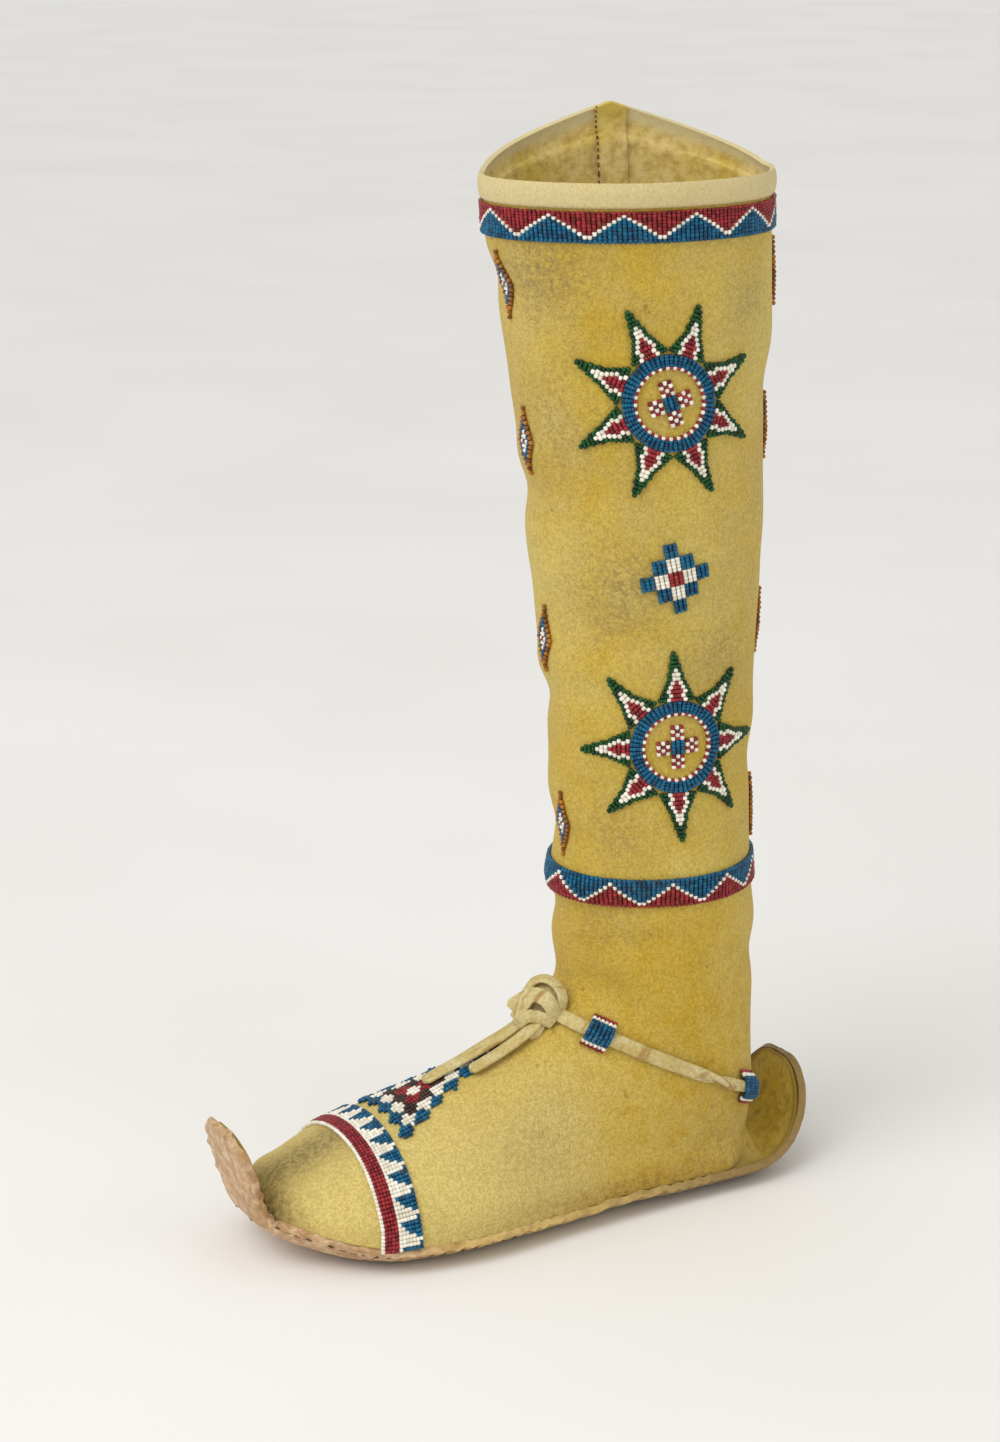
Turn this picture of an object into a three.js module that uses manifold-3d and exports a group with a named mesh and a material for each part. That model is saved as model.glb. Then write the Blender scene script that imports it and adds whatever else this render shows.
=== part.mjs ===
import * as THREE from 'three';
import { mergeVertices } from 'three/addons/utils/BufferGeometryUtils.js';
import Module from 'manifold-3d';

const wasm = await Module();
wasm.setup();

// Driving sizes of the boot, in millimetres
const FOOT_LENGTH = 228;
const BALL_WIDTH = 93;
const INSTEP_HEIGHT = 92;
const SHAFT_HEIGHT = 425;
const COLLAR_DEPTH = 120;
const COLLAR_WIDTH = 97;
const RIM_PEAK = 22;
const WALL = 2;
const CUFF_HEIGHT = 10;
const CUFF_STEP = 1;
const GAP = 0.3;
const SOLE_THICKNESS = 3;
const TAB_HEIGHT = 57;
const LIP_REACH = 21;
const LIP_HEIGHT = 42;
const FACING = 1.2;
const BEAD_HEIGHT = 1.4;
const BAND_HEIGHT = 12;
const TOE_BAND_WIDTH = 16;
const STAR_RADIUS = 40;
const STAR_RING_OUTER = 19;
const STAR_RING_INNER = 14;
const STAR_RAYS = 8;
const FLOWER_ARM = 8;
const FLOWER_HALF = 2.9;
const CHECKER_BLOCK = 5.7;
const LOZENGE_HEIGHT = 28;
const LOZENGE_WIDTH = 11;
const TRIANGLE_HEIGHT = 62;
const TRIANGLE_BASE = 47;
const TIE_WIDTH = 6;
const TIE_THICKNESS = 3;
const KEEPER_LENGTH = 13;
const KEEPER_WIDTH = 10;
const KEEPER_STRAP = 1.5;
const KNOT_WIDTH = 17;
const KNOT_HEIGHT = 13;
const KNOT_DEPTH = 9;
const END_WIDTH = 6;
const END_THICKNESS = 2.6;

const AROUND = 26;
const FOOT_STEP = 0.75;
const SHAFT_STEP = 1;
const STATION_STEP = 0.9;

// Table helpers: a header of column names, then one row per section
function table(header, rows) {
  const names = header.split(' ');
  return rows.map((row) => Object.fromEntries(names.map((name, i) => [name, row[i]])));
}

// Smooth value of one column at a fractional row, without overshoot
function columnAt(rows, name, at) {
  const last = rows.length - 1;
  const t = Math.min(Math.max(at, 0), last);
  const i = Math.min(Math.floor(t), last - 1);
  const slope = (k) => rows[k + 1][name] - rows[k][name];
  const tangent = (k) => {
    if (k <= 0) return slope(0);
    if (k >= last) return slope(last - 1);
    const before = slope(k - 1);
    const after = slope(k);
    return before * after <= 0 ? 0 : (2 * before * after) / (before + after);
  };
  const f = t - i;
  const f2 = f * f;
  const f3 = f2 * f;
  const from = rows[i][name] * (2 * f3 - 3 * f2 + 1) + tangent(i) * (f3 - 2 * f2 + f);
  return from + rows[i + 1][name] * (3 * f2 - 2 * f3) + tangent(i + 1) * (f3 - f2);
}

// Foot sections from toe to ankle: shares of foot length, instep height and half the ball width
const FOOT = table('topAlong topHigh lowAlong lowHigh half shift wide square', [
  [0.992, 0.262, 1.000, 0.110, 0.320, -0.120, 0.62, 3.0],
  [0.974, 0.315, 0.985, 0.030, 0.490, -0.115, 0.66, 3.2],
  [0.940, 0.372, 0.955, -0.020, 0.660, -0.100, 0.68, 3.4],
  [0.870, 0.450, 0.885, -0.050, 0.860, -0.060, 0.70, 3.5],
  [0.768, 0.545, 0.772, -0.050, 0.975, -0.015, 0.72, 3.5],
  [0.658, 0.632, 0.655, -0.050, 1.000, 0.010, 0.73, 3.5],
  [0.550, 0.728, 0.526, -0.050, 0.930, 0.020, 0.74, 3.4],
  [0.455, 0.845, 0.395, -0.050, 0.850, 0.015, 0.72, 3.2],
  [0.402, 0.965, 0.263, -0.050, 0.785, 0.005, 0.68, 3.0],
  [0.386, 1.075, 0.130, -0.030, 0.750, 0.000, 0.62, 2.7],
  [0.380, 1.165, 0.034, 0.120, 0.755, 0.000, 0.57, 2.4],
  [0.378, 1.235, 0.002, 0.460, 0.780, 0.000, 0.53, 2.2],
  [0.378, 1.300, 0.000, 0.850, 0.800, 0.000, 0.51, 2.0],
  [0.379, 1.360, 0.006, 1.200, 0.800, 0.000, 0.50, 2.0],
]);

// Shaft sections from ankle to collar: shares of shaft height, collar depth and half the collar width
const SHAFT = table('high back front half lift', [
  [0.307, 0.018, 0.722, 0.768, 0],
  [0.350, 0.024, 0.725, 0.766, 0],
  [0.410, 0.027, 0.735, 0.772, 0],
  [0.480, 0.026, 0.752, 0.792, 0],
  [0.570, 0.018, 0.790, 0.815, 0],
  [0.660, 0.010, 0.820, 0.845, 0],
  [0.750, 0.006, 0.862, 0.880, 0],
  [0.840, 0.000, 0.912, 0.920, 0],
  [0.915, -0.002, 0.950, 0.960, 0.25],
  [0.968, -0.004, 0.978, 0.988, 0.75],
  [1.000, -0.008, 0.992, 1.000, 1.0],
]);

const SECTIONS = [
  ...FOOT.map((row) => ({
    topA: row.topAlong * FOOT_LENGTH,
    topZ: row.topHigh * INSTEP_HEIGHT,
    lowA: row.lowAlong * FOOT_LENGTH,
    lowZ: row.lowHigh * INSTEP_HEIGHT,
    half: (row.half * BALL_WIDTH) / 2,
    shift: (row.shift * BALL_WIDTH) / 2,
    wide: row.wide,
    square: row.square,
    lift: 0,
  })),
  ...SHAFT.map((row) => ({
    topA: row.front * COLLAR_DEPTH,
    topZ: row.high * SHAFT_HEIGHT,
    lowA: row.back * COLLAR_DEPTH,
    lowZ: row.high * SHAFT_HEIGHT,
    half: (row.half * COLLAR_WIDTH) / 2,
    shift: 0,
    wide: 0.5,
    square: 2,
    lift: row.lift * RIM_PEAK,
  })),
];
const TOE = 0;
const ANKLE = FOOT.length - 1;
const COLLAR = SECTIONS.length - 1;
const PEAK_ANGLE = THREE.MathUtils.degToRad(-107);
const PEAK_SPREAD = THREE.MathUtils.degToRad(80);

// Point of the last's skin at a fractional section and an angle from the front toward the outer side
function skin(at, angle) {
  const over = Math.max(at - COLLAR, 0);
  const s = {};
  for (const name of Object.keys(SECTIONS[0])) s[name] = columnAt(SECTIONS, name, at);
  const power = Math.cos(angle) >= 0 ? 1 : 2 / s.square;
  const across = Math.sign(Math.sin(angle)) * Math.abs(Math.sin(angle)) ** power;
  const along = Math.sign(Math.cos(angle)) * Math.abs(Math.cos(angle)) ** power;
  const down = s.wide - along * (along >= 0 ? s.wide : 1 - s.wide);
  const turn = Math.abs(THREE.MathUtils.euclideanModulo(angle - PEAK_ANGLE + Math.PI, 2 * Math.PI) - Math.PI);
  const tent = Math.max(0, 1 - turn / PEAK_SPREAD) ** 1.2;
  const a = s.topA + (s.lowA - s.topA) * down;
  const z = s.topZ + (s.lowZ - s.topZ) * down + s.lift * tent + over * CUFF_HEIGHT;
  return new THREE.Vector3(s.shift + s.half * across, -a, z);
}

// Outward direction of the skin
function outward(at, angle) {
  const step = 0.02;
  const low = Math.max(at - step, TOE);
  const high = Math.min(Math.max(at, TOE) + step, COLLAR);
  const along = skin(high, angle).sub(skin(Math.min(low, COLLAR - step), angle));
  const round = skin(at, angle + step).sub(skin(at, angle - step));
  return round.cross(along).normalize();
}

function skinOut(at, angle, offset) {
  return skin(at, angle).addScaledVector(outward(at, angle), offset);
}

function solid(geometry) {
  geometry.deleteAttribute('normal');
  geometry.deleteAttribute('uv');
  const merged = mergeVertices(geometry, 1e-4);
  const mesh = new wasm.Mesh({
    numProp: 3,
    vertProperties: Float32Array.from(merged.attributes.position.array),
    triVerts: Uint32Array.from(merged.index.array),
  });
  return new wasm.Manifold(mesh);
}

// Closed solid from rows of rings, each ring the same count of points, with flat fans at both ends
function loft(rings) {
  const count = rings[0].length;
  const points = rings.flat().flatMap((p) => [p.x, p.y, p.z]);
  const index = [];
  for (let i = 0; i + 1 < rings.length; i += 1) {
    for (let j = 0; j < count; j += 1) {
      const a = i * count + j;
      const b = i * count + ((j + 1) % count);
      index.push(a, b, b + count, a, b + count, a + count);
    }
  }
  const cap = (row, flip) => {
    const base = row * count;
    for (let j = 1; j + 1 < count; j += 1) {
      if (flip) index.push(base, base + j + 1, base + j);
      else index.push(base, base + j, base + j + 1);
    }
  };
  cap(0, true);
  cap(rings.length - 1, false);
  const geometry = new THREE.BufferGeometry();
  geometry.setAttribute('position', new THREE.Float32BufferAttribute(points, 3));
  geometry.setIndex(index);
  return solid(geometry);
}

function sectionSteps(from, to, step) {
  const count = Math.max(1, Math.round((to - from) / step));
  return Array.from({ length: count + 1 }, (_, i) => from + ((to - from) * i) / count);
}

function ring(at, offset) {
  return Array.from({ length: AROUND }, (_, j) => skinOut(at, (2 * Math.PI * j) / AROUND, offset));
}

// The last's form grown or shrunk by an offset, over a range of sections
function form(offset, from = TOE, to = COLLAR) {
  const foot = from < ANKLE ? sectionSteps(from, Math.min(to, ANKLE), FOOT_STEP) : [];
  const shaft = to > ANKLE ? sectionSteps(Math.max(from, ANKLE), to, SHAFT_STEP) : [];
  const steps = foot.length && shaft.length ? [...foot, ...shaft.slice(1)] : [...foot, ...shaft];
  return loft(steps.map((at) => ring(at, offset)));
}

// A layer lying on the whole skin between two offsets
function layer(inner, outer) {
  return form(outer).subtract(form(inner));
}

// A short length of the shaft's form that keeps the shaft's own rows
function tube(offset, low, high) {
  const between = SECTIONS.map((_, row) => row).filter((row) => row > low + 0.1 && row < high - 0.1);
  return loft([low, ...between, high].map((at) => ring(at, offset)));
}

// The room round a range of sections
function stretch(from, to) {
  return form(8, from, to);
}

// Sole stations from heel lip to toe tab: shares of foot length, half the ball width and the rim
const SOLE = table('along high half shift rim', [
  [-0.0920, 1.00, 0.090, 0.000, 0.0],
  [-0.0915, 0.93, 0.270, 0.000, 0.1],
  [-0.0890, 0.78, 0.410, 0.000, 0.2],
  [-0.0810, 0.56, 0.520, 0.000, 0.4],
  [-0.0620, 0.32, 0.610, 0.000, 0.7],
  [-0.0300, 0.14, 0.685, 0.000, 0.9],
  [0.0120, 0.03, 0.735, 0.000, 1.0],
  [0.0600, 0.00, 0.765, 0.000, 1.0],
  [0.1100, 0.00, 0.775, 0.000, 1.0],
  [0.1600, 0.00, 0.782, 0.000, 1.0],
  [0.2100, 0.00, 0.792, 0.000, 1.0],
  [0.3300, 0.03, 0.830, 0.010, 1.0],
  [0.4700, 0.00, 0.895, 0.020, 1.1],
  [0.5600, 0.00, 0.955, 0.018, 1.2],
  [0.6600, 0.00, 1.010, 0.010, 1.2],
  [0.7700, 0.00, 0.985, -0.015, 1.2],
  [0.8600, 0.05, 0.890, -0.055, 1.2],
  [0.9250, 0.14, 0.730, -0.090, 1.1],
  [0.9700, 0.22, 0.560, -0.110, 0.9],
  [0.9960, 0.31, 0.420, -0.120, 0.5],
  [1.0080, 0.45, 0.395, -0.120, 0.3],
  [1.0200, 0.64, 0.430, -0.120, 0.25],
  [1.0310, 0.82, 0.400, -0.120, 0.2],
  [1.0390, 0.94, 0.270, -0.120, 0.1],
  [1.0420, 1.00, 0.090, -0.120, 0.0],
]);
const RIM_HEIGHT = 7;
const RIM_FLAT = 0.5;
const RIM_CURL = 2.3;
const SOLE_COLUMNS = 10;
const TAB_FACE_FROM = SOLE.length - 4.9;
const LIP_FACE_TO = 5.2;
const FACING_SHARE = 0.84;

function soleSpine(at) {
  const along = columnAt(SOLE, 'along', at);
  const reach = at < SOLE.length / 2 ? LIP_HEIGHT : TAB_HEIGHT;
  const lift = columnAt(SOLE, 'high', at) * (reach - SOLE_THICKNESS);
  const a = along < 0 ? (along * LIP_REACH) / 0.092 : along * FOOT_LENGTH;
  return new THREE.Vector3(0, -a, SOLE_THICKNESS + lift);
}

// Point of the sole's inner face at a fractional station and a share of the half width
function soleFace(at, share) {
  const half = (columnAt(SOLE, 'half', at) * BALL_WIDTH) / 2;
  const shift = (columnAt(SOLE, 'shift', at) * BALL_WIDTH) / 2;
  const curl = Math.min(Math.max((Math.abs(share) - RIM_FLAT) / (1 - RIM_FLAT), 0), 1) ** RIM_CURL;
  const step = 0.05;
  const ahead = soleSpine(Math.min(at + step, SOLE.length - 1));
  const along = ahead.sub(soleSpine(Math.max(at - step, 0))).normalize();
  const up = new THREE.Vector3(1, 0, 0).cross(along).negate();
  const point = soleSpine(at).addScaledVector(up, columnAt(SOLE, 'rim', at) * RIM_HEIGHT * curl);
  point.x = shift + half * share;
  return point;
}

function soleNormal(at, share) {
  const step = 0.04;
  const last = SOLE.length - 1;
  const ahead = soleFace(Math.min(at + step, last), share).sub(soleFace(Math.max(at - step, 0), share));
  const side = soleFace(at, Math.min(share + step, 1)).sub(soleFace(at, Math.max(share - step, -1)));
  return ahead.cross(side).normalize();
}

// A sheet on the sole's face between two offsets, over stations and a share of the width
function soleSheet(lower, upper, from, to, width) {
  const rings = sectionSteps(from, to, STATION_STEP).map((at) => {
    const shares = Array.from({ length: SOLE_COLUMNS + 1 }, (_, j) => {
      const even = (2 * j) / SOLE_COLUMNS - 1;
      return Math.sign(even) * Math.abs(even) ** 0.8 * width;
    });
    const place = (share, offset) => soleFace(at, share).addScaledVector(soleNormal(at, share), offset);
    const over = shares.map((share) => place(share, upper));
    const under = shares.map((share) => place(share, lower)).reverse();
    return [...over, ...under].reverse();
  });
  return loft(rings);
}

// Everything below the sole's inner face, used to open the upper underneath
function underSole() {
  const reach = 1.5;
  const depth = -60;
  const rings = sectionSteps(0, SOLE.length - 1, STATION_STEP).map((at) => {
    const shares = Array.from({ length: SOLE_COLUMNS + 3 }, (_, j) => {
      if (j === 0) return -reach;
      if (j === SOLE_COLUMNS + 2) return reach;
      const even = (2 * (j - 1)) / SOLE_COLUMNS - 1;
      return Math.sign(even) * Math.abs(even) ** 0.8;
    });
    const over = shares.map((share) => {
      const held = Math.min(Math.max(share, -1), 1);
      return soleFace(at, share).addScaledVector(soleNormal(at, held), GAP);
    });
    const under = over.map((p) => new THREE.Vector3(p.x, p.y, depth)).reverse();
    return [...over, ...under].reverse();
  });
  return loft(rings);
}

const group = new THREE.Group();
group.name = 'boot_moccasin';

const MATERIALS = {
  hide: { color: 0xc4ac54, roughness: 0.95, metalness: 0 },
  rawhide: { color: 0xcdaa7d, roughness: 0.6, metalness: 0 },
  thong: { color: 0xcdbe8c, roughness: 0.9, metalness: 0 },
  blueBeads: { color: 0x0a6496, roughness: 0.25, metalness: 0 },
  redBeads: { color: 0x96282d, roughness: 0.25, metalness: 0 },
  greenBeads: { color: 0x0a4b1e, roughness: 0.25, metalness: 0 },
  amberBeads: { color: 0x966414, roughness: 0.25, metalness: 0 },
};

function addPiece(name, manifold, material) {
  const mesh = manifold.getMesh();
  const geometry = new THREE.BufferGeometry();
  geometry.setAttribute('position', new THREE.Float32BufferAttribute(mesh.vertProperties, 3));
  geometry.setIndex(Array.from(mesh.triVerts));
  const flat = geometry.toNonIndexed();
  flat.computeVertexNormals();
  const piece = new THREE.Mesh(flat, new THREE.MeshStandardMaterial(MATERIALS[material]));
  piece.name = name;
  group.add(piece);
}

// Section where a meridian of the shaft reaches a height
function sectionAtHeight(height, angle) {
  let low = ANKLE - 2;
  let high = COLLAR;
  for (let i = 0; i < 40; i += 1) {
    const middle = (low + high) / 2;
    if (skin(middle, angle).z < height) low = middle;
    else high = middle;
  }
  return (low + high) / 2;
}

// Walk on the skin from an anchor: first up its meridian, then round the section, both by length
function walk(anchor, right, up) {
  const stride = 0.02;
  let { at } = anchor;
  let left = Math.abs(up);
  let here = skin(at, anchor.angle);
  while (left > 0) {
    const next = at + Math.sign(up) * stride;
    const there = skin(next, anchor.angle);
    const length = here.distanceTo(there);
    at += Math.sign(up) * stride * Math.min(1, left / length);
    left -= length;
    here = there;
  }
  let { angle } = anchor;
  left = Math.abs(right);
  here = skin(at, angle);
  while (left > 0) {
    const there = skin(at, angle + Math.sign(right) * stride);
    const length = here.distanceTo(there);
    angle += Math.sign(right) * stride * Math.min(1, left / length);
    left -= length;
    here = there;
  }
  return { at, angle };
}

// A flat outline carried onto the skin and thickened through it
function wrapped(shape, anchor) {
  const { shape: outline, holes } = shape.extractPoints(12);
  const faces = THREE.ShapeUtils.triangulateShape(outline, holes);
  const loops = [outline, ...holes];
  const spots = loops.flat().map((p) => walk(anchor, p.x, p.y));
  const below = spots.map((spot) => skinOut(spot.at, spot.angle, -3));
  const above = spots.map((spot) => skinOut(spot.at, spot.angle, 5));
  const count = spots.length;
  const index = [];
  for (const [a, b, c] of faces) {
    index.push(a + count, b + count, c + count);
    index.push(c, b, a);
  }
  let start = 0;
  for (const one of loops) {
    for (let i = 0; i < one.length; i += 1) {
      const a = start + i;
      const b = start + ((i + 1) % one.length);
      index.push(a, b, b + count, a, b + count, a + count);
    }
    start += one.length;
  }
  const geometry = new THREE.BufferGeometry();
  const points = [...below, ...above].flatMap((p) => [p.x, p.y, p.z]);
  geometry.setAttribute('position', new THREE.Float32BufferAttribute(points, 3));
  geometry.setIndex(index);
  return solid(geometry);
}

function closedShape(points) {
  const shape = new THREE.Shape(points);
  if (THREE.ShapeUtils.isClockWise(points)) return new THREE.Shape([...points].reverse());
  return shape;
}

function polar(radius, angle) {
  return new THREE.Vector2(radius * Math.sin(angle), radius * Math.cos(angle));
}

function starShape(turn) {
  const points = [];
  for (let i = 0; i < STAR_RAYS; i += 1) {
    const angle = turn + (2 * Math.PI * i) / STAR_RAYS;
    points.push(polar(STAR_RADIUS, angle));
    points.push(polar(STAR_RING_OUTER, angle + Math.PI / STAR_RAYS));
  }
  const shape = closedShape(points);
  const inner = Array.from({ length: 12 }, (_, i) => polar(STAR_RING_INNER, (Math.PI * i) / 6));
  shape.holes.push(new THREE.Path(inner));
  return shape;
}

function crossShape(arm, half) {
  const corner = [[half, arm], [half, half], [arm, half], [arm, -half], [half, -half], [half, -arm]];
  const mirrored = corner.map(([x, y]) => [-x, -y]);
  return closedShape([...corner, ...mirrored].map(([x, y]) => new THREE.Vector2(x, y)));
}

function checkerShape(block, turn) {
  const steps = [0.5, 1.5, 2.5];
  const points = [];
  for (let quarter = 0; quarter < 4; quarter += 1) {
    for (let i = 0; i < steps.length; i += 1) {
      const x = steps[i] * block;
      const y = steps[steps.length - 1 - i] * block;
      const spin = turn - (quarter * Math.PI) / 2;
      const middle = new THREE.Vector2();
      if (i > 0) points.push(new THREE.Vector2(steps[i - 1] * block, y).rotateAround(middle, spin));
      points.push(new THREE.Vector2(x, y).rotateAround(middle, spin));
    }
  }
  return closedShape(points);
}

function lozengeShape(width, height) {
  const half = [[0, height / 2], [width / 2, 0], [0, -height / 2], [-width / 2, 0]];
  return closedShape(half.map(([x, y]) => new THREE.Vector2(x, y)));
}

function triangleShape(base, height) {
  const corners = [[0, height], [base / 2, 0], [-base / 2, 0]];
  return closedShape(corners.map(([x, y]) => new THREE.Vector2(x, y)));
}

// Upper: the form with its inside taken out, the cuff as a step, opened by the sole's face
const CUFF_FROM = sectionAtHeight(SHAFT_HEIGHT - CUFF_HEIGHT, Math.PI / 2);
const opening = underSole();
const outside = form(0).add(tube(CUFF_STEP, CUFF_FROM, COLLAR));
const upper = outside.subtract(form(-WALL, TOE + 0.5, COLLAR + 1)).subtract(opening);
addPiece('upper', upper, 'hide');

// Sole: one sheet with curled rim, toe tab and heel lip
addPiece('sole', soleSheet(-SOLE_THICKNESS, 0, 0, SOLE.length - 1, 1), 'rawhide');
const FACE_LOW = 2 * GAP;
const FACE_TOP = FACE_LOW + FACING;
const tabFacing = soleSheet(FACE_LOW, FACE_TOP, TAB_FACE_FROM, SOLE.length - 1.4, FACING_SHARE);
addPiece('toe_tab_facing', tabFacing, 'hide');
const lipFacing = soleSheet(FACE_LOW, FACE_TOP, 0.4, LIP_FACE_TO, FACING_SHARE);
addPiece('heel_lip_facing', lipFacing, 'hide');

// Bead bands round collar, calf and toe
const BEAD_TOP = GAP + BEAD_HEIGHT;
const beads = layer(GAP, BEAD_TOP);
function shaftBand(low, high) {
  return tube(BEAD_TOP, low, high).subtract(tube(GAP, low - 0.05, high + 0.05));
}
const COLLAR_BAND_TOP = SHAFT_HEIGHT - CUFF_HEIGHT - 0.6;
const collarLow = sectionAtHeight(COLLAR_BAND_TOP - BAND_HEIGHT, Math.PI / 2);
addPiece('collar_band', shaftBand(collarLow, sectionAtHeight(COLLAR_BAND_TOP, Math.PI / 2)), 'redBeads');
const CALF_BAND_LOW = 0.311 * SHAFT_HEIGHT;
const calfLow = sectionAtHeight(CALF_BAND_LOW, Math.PI / 2);
const calfHigh = sectionAtHeight(CALF_BAND_LOW + BAND_HEIGHT, Math.PI / 2);
addPiece('calf_band', shaftBand(calfLow, calfHigh), 'blueBeads');
const TOE_BAND_FROM = 0.19 * FOOT_LENGTH;
const toeTip = { at: TOE, angle: 0 };
const toeLow = walk(toeTip, 0, TOE_BAND_FROM).at;
const toeHigh = walk(toeTip, 0, TOE_BAND_FROM + TOE_BAND_WIDTH).at;
addPiece('toe_band', beads.intersect(stretch(toeLow, toeHigh)).subtract(opening), 'redBeads');

// Bead motifs of the shaft, placed by height share and angle
function addMotif(name, shape, height, degrees, material) {
  const angle = THREE.MathUtils.degToRad(degrees);
  const anchor = { at: sectionAtHeight(height * SHAFT_HEIGHT, angle), angle };
  addPiece(name, wrapped(shape, anchor).intersect(beads), material);
}
const HALF_RAY = Math.PI / STAR_RAYS;
const CHECKER_TURN = THREE.MathUtils.degToRad(10);
const SIDES = table('name degrees', [
  ['outer', 78],
  ['inner', -102],
]);
const UPPER_STAR = 0.800;
const CHECKER = 0.635;
const LOWER_STAR = 0.470;
for (const { name, degrees } of SIDES) {
  const flower = crossShape(FLOWER_ARM, FLOWER_HALF);
  addMotif(`star_${name}_upper`, starShape(HALF_RAY), UPPER_STAR, degrees, 'greenBeads');
  addMotif(`flower_${name}_upper`, flower, UPPER_STAR, degrees, 'blueBeads');
  addMotif(`checker_${name}`, checkerShape(CHECKER_BLOCK, CHECKER_TURN), CHECKER, degrees, 'blueBeads');
  addMotif(`star_${name}_lower`, starShape(0), LOWER_STAR, degrees, 'greenBeads');
  addMotif(`flower_${name}_lower`, flower, LOWER_STAR, degrees, 'blueBeads');
}
const COLUMNS = table('name degrees', [
  ['front', 0],
  ['back', 160],
]);
const LOZENGES = table('number height', [
  [1, 0.903],
  [2, 0.757],
  [3, 0.567],
  [4, 0.381],
]);
for (const column of COLUMNS) {
  for (const row of LOZENGES) {
    const shape = lozengeShape(LOZENGE_WIDTH, LOZENGE_HEIGHT);
    addMotif(`lozenge_${column.name}_${row.number}`, shape, row.height, column.degrees, 'amberBeads');
  }
}

// Bead triangle over the instep, base toward the toe
const triangleFoot = walk(toeTip, 0, TOE_BAND_FROM + TOE_BAND_WIDTH + 3);
const triangle = wrapped(triangleShape(TRIANGLE_BASE, TRIANGLE_HEIGHT), triangleFoot);
addPiece('vamp_triangle', triangle.intersect(beads), 'blueBeads');

// Ankle tie: a thong round the ankle in a plane that falls toward the heel
const TIE_LOW = GAP + 0.1;
const TIE_TOP = TIE_LOW + TIE_THICKNESS;
const TIE_FRONT_HIGH = 0.90 * INSTEP_HEIGHT;
const TIE_BACK_HIGH = 0.39 * INSTEP_HEIGHT;
const TIE_RUN = 0.41 * FOOT_LENGTH;
const tieSlope = Math.atan2(TIE_FRONT_HIGH - TIE_BACK_HIGH, TIE_RUN);
function tieSlab(width) {
  const slab = new THREE.BoxGeometry(3 * BALL_WIDTH, 3 * TIE_RUN, width);
  slab.rotateX(-tieSlope);
  slab.translate(0, -TIE_RUN, TIE_FRONT_HIGH);
  return solid(slab);
}
const tieSpace = layer(GAP / 2, TIE_TOP + GAP).intersect(tieSlab(TIE_WIDTH + 2 * GAP));
addPiece('ankle_tie', layer(TIE_LOW, TIE_TOP).intersect(tieSlab(TIE_WIDTH)), 'thong');

// Beaded keepers over the tie
const keeperStock = layer(GAP, TIE_TOP + GAP + KEEPER_STRAP).subtract(tieSpace);
const KEEPERS = table('name side along', [
  ['keeper_outer_front', 1, 0.355],
  ['keeper_outer_back', 1, 0.070],
  ['keeper_inner_front', -1, 0.355],
  ['keeper_inner_back', -1, 0.070],
]);

// Spot on one side of the skin where it meets the tie's middle plane
function tieSpot(side, along) {
  const y = -along * FOOT_LENGTH;
  const z = TIE_FRONT_HIGH - (y + TIE_RUN) * Math.tan(tieSlope);
  let best = null;
  for (let at = 5; at < ANKLE + 2; at += 0.05) {
    for (let angle = 0.05; angle < Math.PI; angle += 0.05) {
      const p = skin(at, side * angle);
      const miss = Math.hypot(p.y - y, p.z - z);
      if (!best || miss < best.miss) best = { miss, at, angle: side * angle };
    }
  }
  return best;
}
for (const row of KEEPERS) {
  const spot = tieSpot(row.side, row.along);
  const out = outward(spot.at, spot.angle);
  const level = new THREE.Vector3(0, -Math.sin(tieSlope), -Math.cos(tieSlope)).negate();
  const along = level.clone().cross(out).normalize();
  const tall = out.clone().cross(along);
  const block = new THREE.BoxGeometry(KEEPER_WIDTH, KEEPER_LENGTH, 24);
  block.applyMatrix4(new THREE.Matrix4().makeBasis(along, tall, out).setPosition(skin(spot.at, spot.angle)));
  addPiece(row.name, solid(block).intersect(keeperStock), 'blueBeads');
}

// Knot at the front of the ankle: two crossed lobes over the tie
const knotAt = tieSpot(1, 0.41);
const knotOut = outward(knotAt.at, 0);
const knotUp = new THREE.Vector3(1, 0, 0).cross(knotOut).negate();
const knotCentre = skinOut(knotAt.at, 0, TIE_TOP + GAP + KNOT_DEPTH / 2);
function knotLobe(turn) {
  const lobe = new THREE.SphereGeometry(0.5, 10, 6);
  lobe.scale(KNOT_WIDTH, KNOT_HEIGHT * 0.62, KNOT_DEPTH);
  lobe.rotateZ(turn);
  const basis = new THREE.Matrix4().makeBasis(new THREE.Vector3(1, 0, 0), knotUp, knotOut);
  lobe.applyMatrix4(basis.setPosition(knotCentre));
  return solid(lobe);
}
addPiece('tie_knot', knotLobe(0.5).add(knotLobe(-0.6)), 'thong');

// Loose ends of the tie, flat thongs lying down the vamp below the knot
const ENDS = table('name from to length', [
  ['tie_end_long', 4, 9, 54],
  ['tie_end_short', -4, -9, 36],
]);
const END_REST = BEAD_TOP + GAP + END_THICKNESS / 2;
for (const row of ENDS) {
  const stops = [0, 0.2, 0.45, 0.7, 1];
  const path = new THREE.CatmullRomCurve3(stops.map((share) => {
    const across = row.from + (row.to - row.from) * share;
    const spot = walk({ at: knotAt.at, angle: 0 }, across, -KNOT_HEIGHT / 2 - 3 * GAP - share * row.length);
    return skinOut(spot.at, spot.angle, END_REST + (1 - share));
  }));
  const cut = Array.from({ length: 8 }, (_, i) => {
    const angle = (Math.PI * (i + 0.5)) / 4;
    return new THREE.Vector2((Math.cos(angle) * END_WIDTH) / 2, (Math.sin(angle) * END_THICKNESS) / 2);
  });
  const options = { extrudePath: path, steps: 8, bevelEnabled: false };
  addPiece(row.name, solid(new THREE.ExtrudeGeometry(new THREE.Shape(cut), options)), 'thong');
}

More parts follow.
